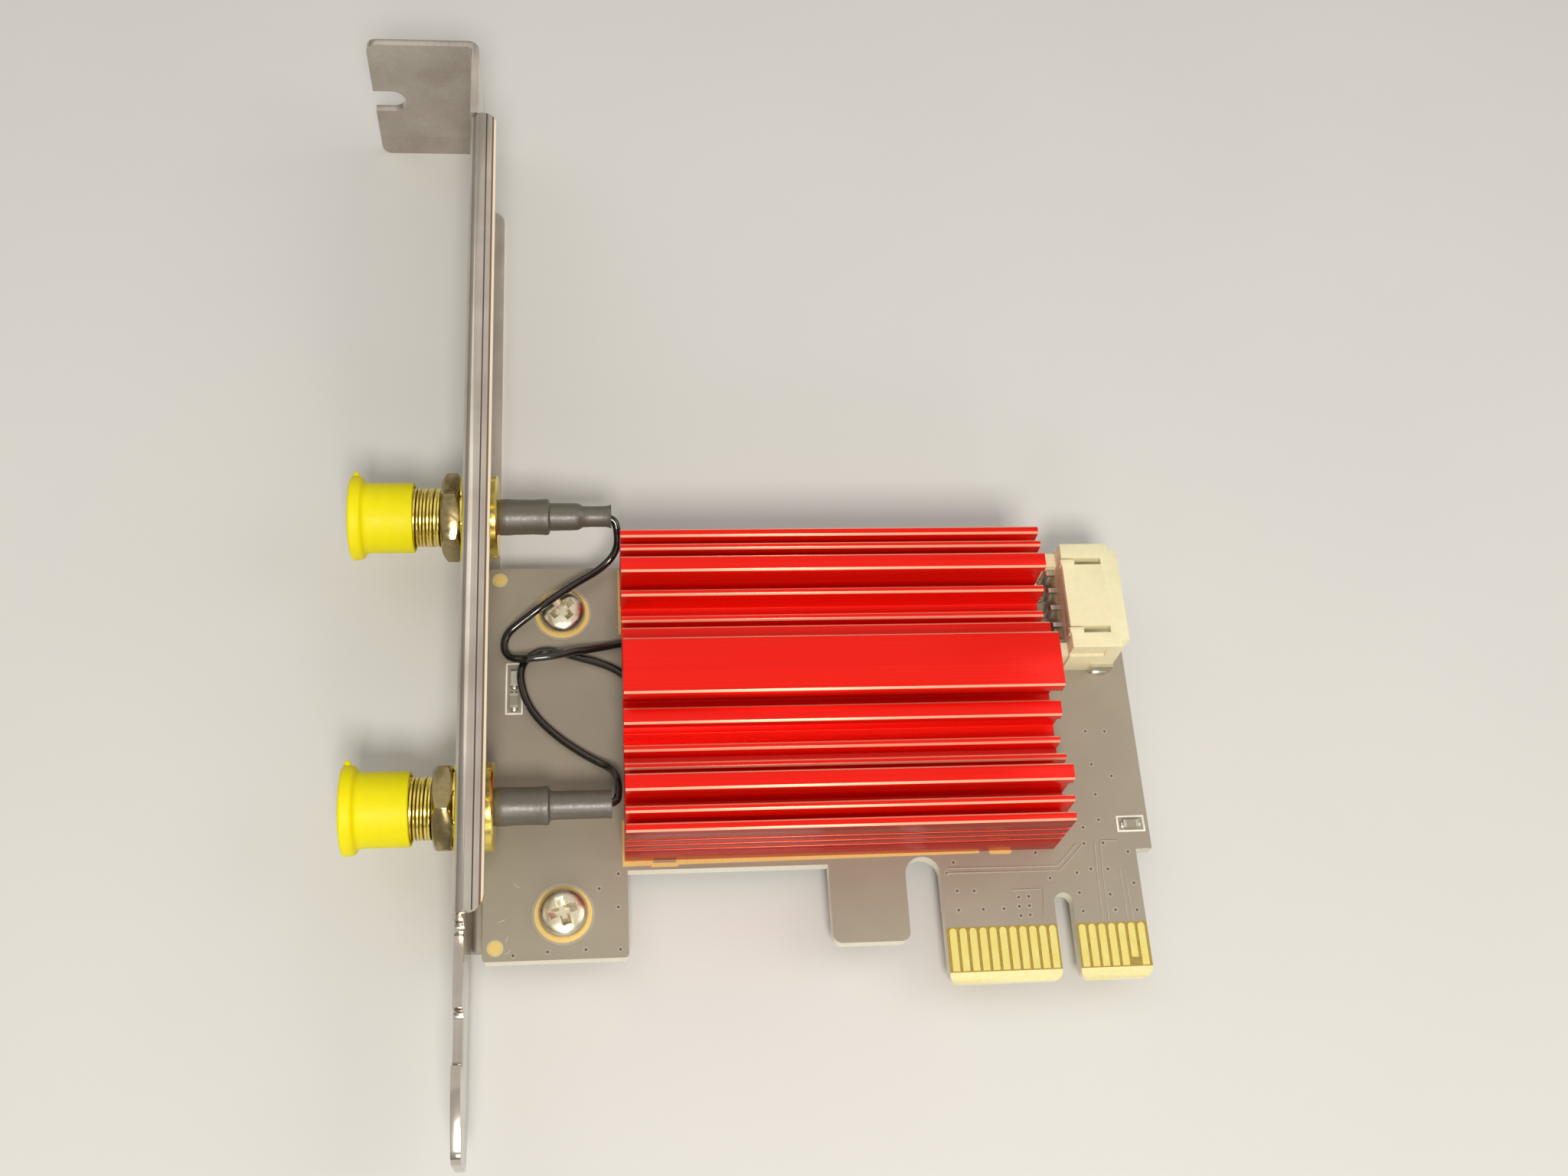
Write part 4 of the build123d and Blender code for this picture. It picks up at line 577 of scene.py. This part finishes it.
# The two screws have domed heads with a tapered cross recess.
SCREWS = ((-49.45, 8.05, 18.0), (-49.45, 39.96, 40.0))
SEAT = 0.05
HEAD_R = 2.4
HEAD_HEIGHT = 1.5
HEAD_SIDE = 0.4
SHANK_R = 1.25
SHANK_END = -3.36
DOME = 2.6  # 2 would be an ellipse, more is squarer
DOME_STEPS = 12
RECESS = ((0.8, 1.3, 0.5), (1.75, 3.5, 1.05))  # height, length and width at the bottom and the top
dome = []
for k in range(DOME_STEPS + 1):
    rise = (1 - (k / DOME_STEPS) ** DOME) ** (1 / DOME)
    dome.append((HEAD_R * k / DOME_STEPS, SEAT + HEAD_SIDE + (HEAD_HEIGHT - HEAD_SIDE) * rise))
outline = [(z, r) for r, z in dome] + [(SEAT + 0.08, HEAD_R), (SEAT, HEAD_R - 0.08), (SEAT, SHANK_R),
                                       (SHANK_END + 0.2, SHANK_R), (SHANK_END, SHANK_R - 0.2), (SHANK_END, 0)]
for place, (x, y, turn) in zip(("lower", "upper"), SCREWS):
    upright = Matrix.Translation((x * MM, y * MM, 0)) @ Matrix.Rotation(math.radians(turn), 4, "Z")
    screw = turned(place + "_screw_blank", outline, 0, 0)
    screw.data.transform(upright @ Matrix.Rotation(math.radians(-90), 4, "Y"))
    arms = []
    for k in range(2):
        shape = bmesh.new()
        corners = [shape.verts.new((i * l / 2 * MM, j * w / 2 * MM, z * MM)) for z, l, w in RECESS
                   for i, j in ((-1, -1), (1, -1), (1, 1), (-1, 1))]
        for face in ((0, 1, 2, 3), (4, 5, 6, 7), (0, 1, 5, 4), (1, 2, 6, 5), (2, 3, 7, 6), (3, 0, 4, 7)):
            shape.faces.new([corners[c] for c in face])
        arm = solid("cross_arm", shape)
        arm.data.transform(upright @ Matrix.Rotation(math.radians(90 * k), 4, "Z"))
        taken = screw.modifiers.new("cross", "BOOLEAN")
        taken.operation = "DIFFERENCE"
        taken.object = arm
        arms.append(arm)
    broken = screw.modifiers.new("broken_edges", "BEVEL")
    broken.width = 0.07 * MM
    broken.segments = 2
    broken.angle_limit = math.radians(35)
    screw = dress(settled(screw, place + "_pan_head_screw"), screw_steel)
    for arm in arms:
        bpy.data.objects.remove(arm)
    screw.data.shade_smooth()
    screw.data.set_sharp_from_angle(angle=math.radians(35))
    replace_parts(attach(screw, "card"), "bracket_screws")


# Antenna jacks: turned brass with gold plating. A thread of 36 turns to the inch runs through the bracket and takes
# a toothed washer and a nut outside. Behind the flange the tail is crimped on the lead.

JACKS = {"upper": 48.8, "lower": 17.45}
JACK_Z = 4.89
MOUTH_X = -68.91
PLATE_IN_X = -58.15
THREAD_R = 3.175
THREAD_PITCH = 25.4 / 36
THREAD_RIDGE = 0.3
THREAD_TURNS = 12.5
CORE_R = 3.0
BORE_R = 2.3
BORE_DEPTH = 7.0
FLANGE_R = 4.3
FLANGE_BACK_X = -55.85
CRIMP_R = 1.35
CRIMP_END_X = -50.75
TAIL_R = 0.95
TAIL_END_X = -45.7
BROKEN = 0.15  # edges of the flange

# The thread is a ridge swept along a spiral, then laid along X.
thread, start = grower("jack_thread", Turns="Float", Length="Float", Radius="Float", Ridge="Float", Place="Vector",
                       Finish="Material")
spiral = add(thread, "GeometryNodeCurveSpiral", {"Resolution": 48, "Rotations": start.outputs["Turns"],
                                                 "Start Radius": start.outputs["Radius"],
                                                 "End Radius": start.outputs["Radius"],
                                                 "Height": start.outputs["Length"], "Reverse": False})
upright = add(thread, "GeometryNodeSetCurveNormal", {"Curve": spiral.outputs[0]}, mode="Z_UP")
crest = add(thread, "GeometryNodeCurvePrimitiveCircle", {"Resolution": 3, "Radius": start.outputs["Ridge"]})
ridge = add(thread, "GeometryNodeCurveToMesh", {"Curve": upright.outputs[0], "Profile Curve": crest.outputs[0],
                                                "Fill Caps": True})
laid = add(thread, "GeometryNodeTransform", {"Geometry": ridge.outputs[0], "Translation": start.outputs["Place"],
                                             "Rotation": (0, math.radians(90), 0)})
close(thread, start, laid.outputs[0])

jack_gold = grained("gold_plated_brass", "#efd256", "#fff093", 0.6, (0.14, 0.26), bump=0.002, Metallic=1.0)
ptfe = grained("ptfe_insulator", "#e4e2dc", "#f3f2ee", 0.4, (0.45, 0.6), bump=0.004)
nut_gold = grained("plated_nut", "#8d7e5a", "#b5a577", 0.5, (0.1, 0.18), bump=0.002, Metallic=1.0)
for place, y in JACKS.items():
    body = turned(place + "_jack_turned_body", [
        (MOUTH_X + BORE_DEPTH, 0), (MOUTH_X + BORE_DEPTH, BORE_R), (MOUTH_X, BORE_R), (MOUTH_X, BORE_R + 0.3),
        (MOUTH_X + 0.25, CORE_R), (PLATE_IN_X, CORE_R), (PLATE_IN_X, FLANGE_R - BROKEN),
        (PLATE_IN_X + BROKEN, FLANGE_R), (FLANGE_BACK_X - BROKEN, FLANGE_R), (FLANGE_BACK_X, FLANGE_R - BROKEN),
        (FLANGE_BACK_X, CRIMP_R), (CRIMP_END_X, CRIMP_R), (CRIMP_END_X, TAIL_R), (TAIL_END_X, TAIL_R),
        (TAIL_END_X, 0)], y, JACK_Z)
    ridges = grown(place + "_jack_thread", bpy.data.meshes.new(place + "_thread"), thread, Turns=THREAD_TURNS,
                   Length=THREAD_TURNS * THREAD_PITCH * MM, Radius=(THREAD_R - THREAD_RIDGE) * MM,
                   Ridge=THREAD_RIDGE * MM, Place=((MOUTH_X + 0.45) * MM, y * MM, JACK_Z * MM), Finish=jack_gold)
    dress(body, jack_gold)
    dress(ridges, jack_gold)
    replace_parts(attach(body, "card"), place + "_jack_body")
    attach(ridges, "card")
    dress(nodes[place + "_jack_insulator"], ptfe)
    dress(nodes[place + "_jack_contact"], jack_gold)
    washer = dress(softened(place + "_jack_washer", place + "_toothed_washer", 0.05), jack_gold)
    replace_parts(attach(washer, "card"), place + "_jack_washer")
    nut = dress(softened(place + "_jack_nut", place + "_hex_nut", 0.08), nut_gold)
    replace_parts(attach(nut, "card"), place + "_jack_nut")


# Sleeves: black heat-shrink tube over each crimped tail. It is shrunk tight, so it swells round the crimp's ends,
# steps down past it and flares a little where it was cut. The upper one steps down twice.

shrink = grained("heat_shrink_tube", "#48443a", "#605a4d", 0.3, (0.36, 0.46), bump=0.02, Specular_IOR_Level=1.0)
TAILS = {
    "upper": [(-50.35, 1.45), (-48.2, 1.42), (-47.75, 1.4), (-47.45, 1.28), (-47.2, 1.12), (-46.4, 1.08), (-44.75, 1.1),
              (-44.4, 1.2), (-44.25, 1.26), (-44.25, 0.62)],
    "lower": [(-50.35, 1.4), (-49.6, 1.37), (-48.4, 1.39), (-47.4, 1.36), (-46.0, 1.38), (-45.1, 1.36), (-44.8, 1.39),
              (-44.65, 1.36), (-44.65, 0.62)]}
for place, y in JACKS.items():
    tube = turned(place + "_shrink_sleeve", [
        (-55.85, 1.36), (-55.85, 1.75), (-55.7, 1.87), (-54.9, 1.9), (-54.2, 1.84), (-52.3, 1.82), (-51.3, 1.86),
        (-51.0, 1.9), (-50.75, 1.86), (-50.62, 1.66), (-50.55, 1.44)] + TAILS[place] + [
        (-45.68, 0.62), (-45.68, 0.96), (-50.74, 0.96), (-50.74, 1.36)], y, JACK_Z, closed=True)
    dress(tube, shrink)
    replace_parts(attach(tube, "card"), place + "_sleeve")


# Leads: thin coaxial cable in a glossy black jacket. Each runs from its sleeve over the board, under the heatsink,
# to a snap-on plug on the radio module.

jacket = grained("fluoropolymer_jacket", "#12110f", "#22201d", 0.5, (0.1, 0.18), bump=0.003,
                 Coat_Weight=0.5, Coat_Roughness=0.06)
LEAD_D = 0.81
LEADS = {
    "upper": (42.5, [
        (-45.70, 48.8, 4.89), (-43.95, 48.8, 4.89), (-43.6, 47.3, 4.0), (-43.65, 46.3, 2.7), (-44.3, 45.4, 1.75),
        (-45.75, 44.2, 1.3), (-47.8, 42.75, 1.75), (-49.75, 41.2, 2.1), (-51.7, 39.8, 1.9), (-53.6, 38.6, 1.1),
        (-55.15, 37.5, 0.52), (-55.47, 35.9, 0.5), (-54.85, 34.68, 0.85), (-53.77, 34.22, 1.5), (-52.2, 34.25, 1.72),
        (-50.4, 34.45, 1.7), (-48.4, 34.95, 1.5), (-46.6, 35.45, 0.95), (-44.8, 35.92, 0.52), (-42.9, 36.35, 0.47),
        (-40.9, 36.6, 0.85), (-39.1, 36.55, 1.85), (-37.6, 36.5, 2.75), (-36.4, 36.5, 2.75)]),
    "lower": (49.4, [
        (-45.70, 17.45, 4.89), (-44.2, 17.45, 4.89), (-43.98, 18.85, 4.45), (-44.05, 20.1, 3.45), (-44.2, 21.3, 2.2),
        (-44.75, 22.5, 1.05), (-46.2, 23.45, 0.5), (-48.05, 24.65, 0.44), (-49.95, 26.1, 0.45), (-51.7, 27.8, 0.46),
        (-53.0, 29.7, 0.6), (-53.6, 31.6, 0.95), (-53.7, 33.2, 0.9), (-53.1, 34.75, 0.46), (-51.7, 35.6, 0.44),
        (-50.0, 35.5, 0.45), (-48.1, 34.85, 0.44), (-46.1, 34.25, 0.45), (-44.2, 33.5, 0.44), (-42.5, 32.2, 0.45),
        (-41.4, 30.2, 0.44), (-40.9, 27.8, 0.5), (-40.4, 25.4, 0.85), (-39.7, 23.5, 1.55), (-38.8, 22.1, 2.4),
        (-37.6, 21.5, 2.75), (-36.4, 21.5, 2.75)])}
for place, (length, route) in LEADS.items():
    curve = bpy.data.curves.new(place + "_coax", "CURVE")
    curve.dimensions = "3D"
    spline = curve.splines.new("NURBS")
    spline.points.add(len(route) - 1)
    for point, p in zip(spline.points, route):
        point.co = [c * MM for c in p] + [1.0]
    spline.order_u = 3
    spline.use_endpoint_u = True
    spline.resolution_u = 8
    curve.bevel_depth = LEAD_D / 2 * MM
    curve.bevel_resolution = 4
    curve.use_fill_caps = True
    lead = put(place + "_coax_lead", curve)
    curve.materials.append(jacket)
    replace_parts(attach(lead, "card"), place + "_lead")
    dress(nodes[place + "_micro_plug"], jack_gold)


# Dust caps: soft yellow vinyl, dip-moulded with a flared lip and a small nub left by the mould. They push over the
# jack's thread and pull off along it.

vinyl = grained("soft_yellow_vinyl", "#e9d900", "#f5e800", 1.5, (0.42, 0.55), bump=0.01, Subsurface_Weight=0.3,
                Subsurface_Radius=(1.0, 0.8, 0.1), Subsurface_Scale=0.8 * MM, Specular_IOR_Level=0.25)
CAP_ENDS = {"upper": -70.75, "lower": -70.1}
CAP_MOUTH = 6.4
NUB_TURN = math.radians(65)
NUB = (0.38, 0.38, 0.55)  # half sizes
for place, y in JACKS.items():
    x = CAP_ENDS[place]
    cap = turned(place + "_vinyl_cap", [
        (x + 0.12, 0), (x + 0.12, 3.0), (x, 3.3), (x, 4.0), (x + 0.03, 4.14), (x + 0.1, 4.25), (x + 0.21, 4.32),
        (x + 0.35, 4.34), (x + 1.0, 4.26), (x + 1.15, 4.2), (x + 1.27, 4.08), (x + 1.36, 3.9), (x + 1.47, 3.75),
        (x + 1.65, 3.66), (x + 1.95, 3.62), (x + CAP_MOUTH - 0.2, 3.62), (x + CAP_MOUTH - 0.06, 3.57),
        (x + CAP_MOUTH, 3.45), (x + CAP_MOUTH, 3.26), (x + 0.9, 3.26), (x + 0.9, 0)], y, JACK_Z)
    shape = bmesh.new()
    shape.from_mesh(cap.data)
    nub = Matrix.Translation([(x + 0.48) * MM, y * MM, JACK_Z * MM]) @ Matrix.Rotation(-NUB_TURN, 4, "X")
    nub @= Matrix.Translation((0, 0, 4.25 * MM)) @ Matrix.Diagonal(NUB + (1,))
    bmesh.ops.create_uvsphere(shape, u_segments=20, v_segments=12, radius=MM, matrix=nub)
    shape.to_mesh(cap.data)
    shape.free()
    cap.data.shade_smooth()
    cap.data.set_sharp_from_angle(angle=math.radians(40))
    dress(cap, vinyl)
    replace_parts(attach(cap, place + "_cap"), place + "_dust_cap")


# Studio: a pale floor under the card, a wide soft box overhead, a smaller one by the camera that gives the
# highlights, one from the right for the shadows and weak ones from the front and the left for the metal edges.

FLOOR_REACH = 2.5
floor_mesh = bpy.data.meshes.new("floor")
floor_mesh.from_pydata([(i * FLOOR_REACH, j * FLOOR_REACH, cad_box[0][2])
                        for i, j in ((-1, -1), (1, -1), (1, 1), (-1, 1))], [], [(0, 1, 2, 3)])
floor = put("floor", floor_mesh)
dress(floor, grained("pale_floor", "#d6d5d2", "#dcdbd8", 40.0, (0.75, 0.85)))

world = bpy.data.worlds.new("studio")
bpy.context.scene.world = world
world.use_nodes = True
tree = world.node_tree
light = tree.nodes["Background"]
light.inputs["Color"].default_value = linear("#f7f4ee")
light.inputs["Strength"].default_value = 0.38
up = add(tree, "ShaderNodeSeparateXYZ", {0: add(tree, "ShaderNodeTexCoord").outputs["Generated"]})
rise = add(tree, "ShaderNodeMapRange", {"Value": up.outputs["Z"], "From Min": 0.0, "From Max": 0.8})
backdrop = add(tree, "ShaderNodeMix", {0: rise.outputs[0], 6: linear("#9a958f"), 7: linear("#c9c5bf")},
               data_type="RGBA")
shown = add(tree, "ShaderNodeBackground", {"Color": backdrop.outputs[2], "Strength": 1.0})
ray = add(tree, "ShaderNodeLightPath")
mirrored = add(tree, "ShaderNodeMath", {0: ray.outputs["Is Glossy Ray"], 1: ray.outputs["Is Transmission Ray"]},
               operation="MAXIMUM")
seen = add(tree, "ShaderNodeMath", {0: mirrored.outputs[0], 1: ray.outputs["Is Camera Ray"]}, operation="MAXIMUM")
mixed = add(tree, "ShaderNodeMixShader", {0: seen.outputs[0], 1: light.outputs[0], 2: shown.outputs[0]})
tree.links.new(mixed.outputs[0], tree.nodes["World Output"].inputs["Surface"])

# Each lamp has a place and a size in millimetres and a power in watts, and faces the middle of the card.
CENTRE = Vector((-30 * MM, 38 * MM, 0))
LAMPS = (("overhead", (-60, 260, 520), 600, 0.32), ("by_camera", (-38, -195, 325), 90, 0.95),
         ("right", (360, 60, 300), 300, 0.45), ("front", (0, -420, 200), 140, 0.3),
         ("left", (-330, 200, 330), 220, 0.12))
for name, place, size, power in LAMPS:
    lamp = bpy.data.lights.new(name, "AREA")
    lamp.shape = "SQUARE"
    lamp.size = size * MM
    lamp.energy = power
    lamp.color = linear("#fffaf3")[:3]
    lit = put(name, lamp)
    lit.location = [c * MM for c in place]
    lit.rotation_euler = (CENTRE - lit.location).to_track_quat("-Z", "Y").to_euler()

# The camera stands above the contact edge and looks down at a slant.
CAMERA_AT = (-46.15, -35.12, 164.51)
SENSOR = 36.0
FOCAL_SHARE = 2242.9 / 2048  # focal length over picture width
camera = bpy.data.cameras.new("camera")
camera.sensor_width = SENSOR
camera.lens = SENSOR * FOCAL_SHARE
camera.clip_start = 0.01
view = put("camera", camera)
away = -Vector((0.1101, 0.4246, -0.8987)).normalized()
right = Vector((0.0122, 0.9035, 0.4283)).cross(away).normalized()
up = away.cross(right)
turn = Matrix((right, up, away)).transposed().to_4x4()
view.matrix_world = Matrix.Translation([c * MM for c in CAMERA_AT]) @ turn
bpy.context.scene.camera = view
bpy.context.scene.view_settings.view_transform = "Standard"
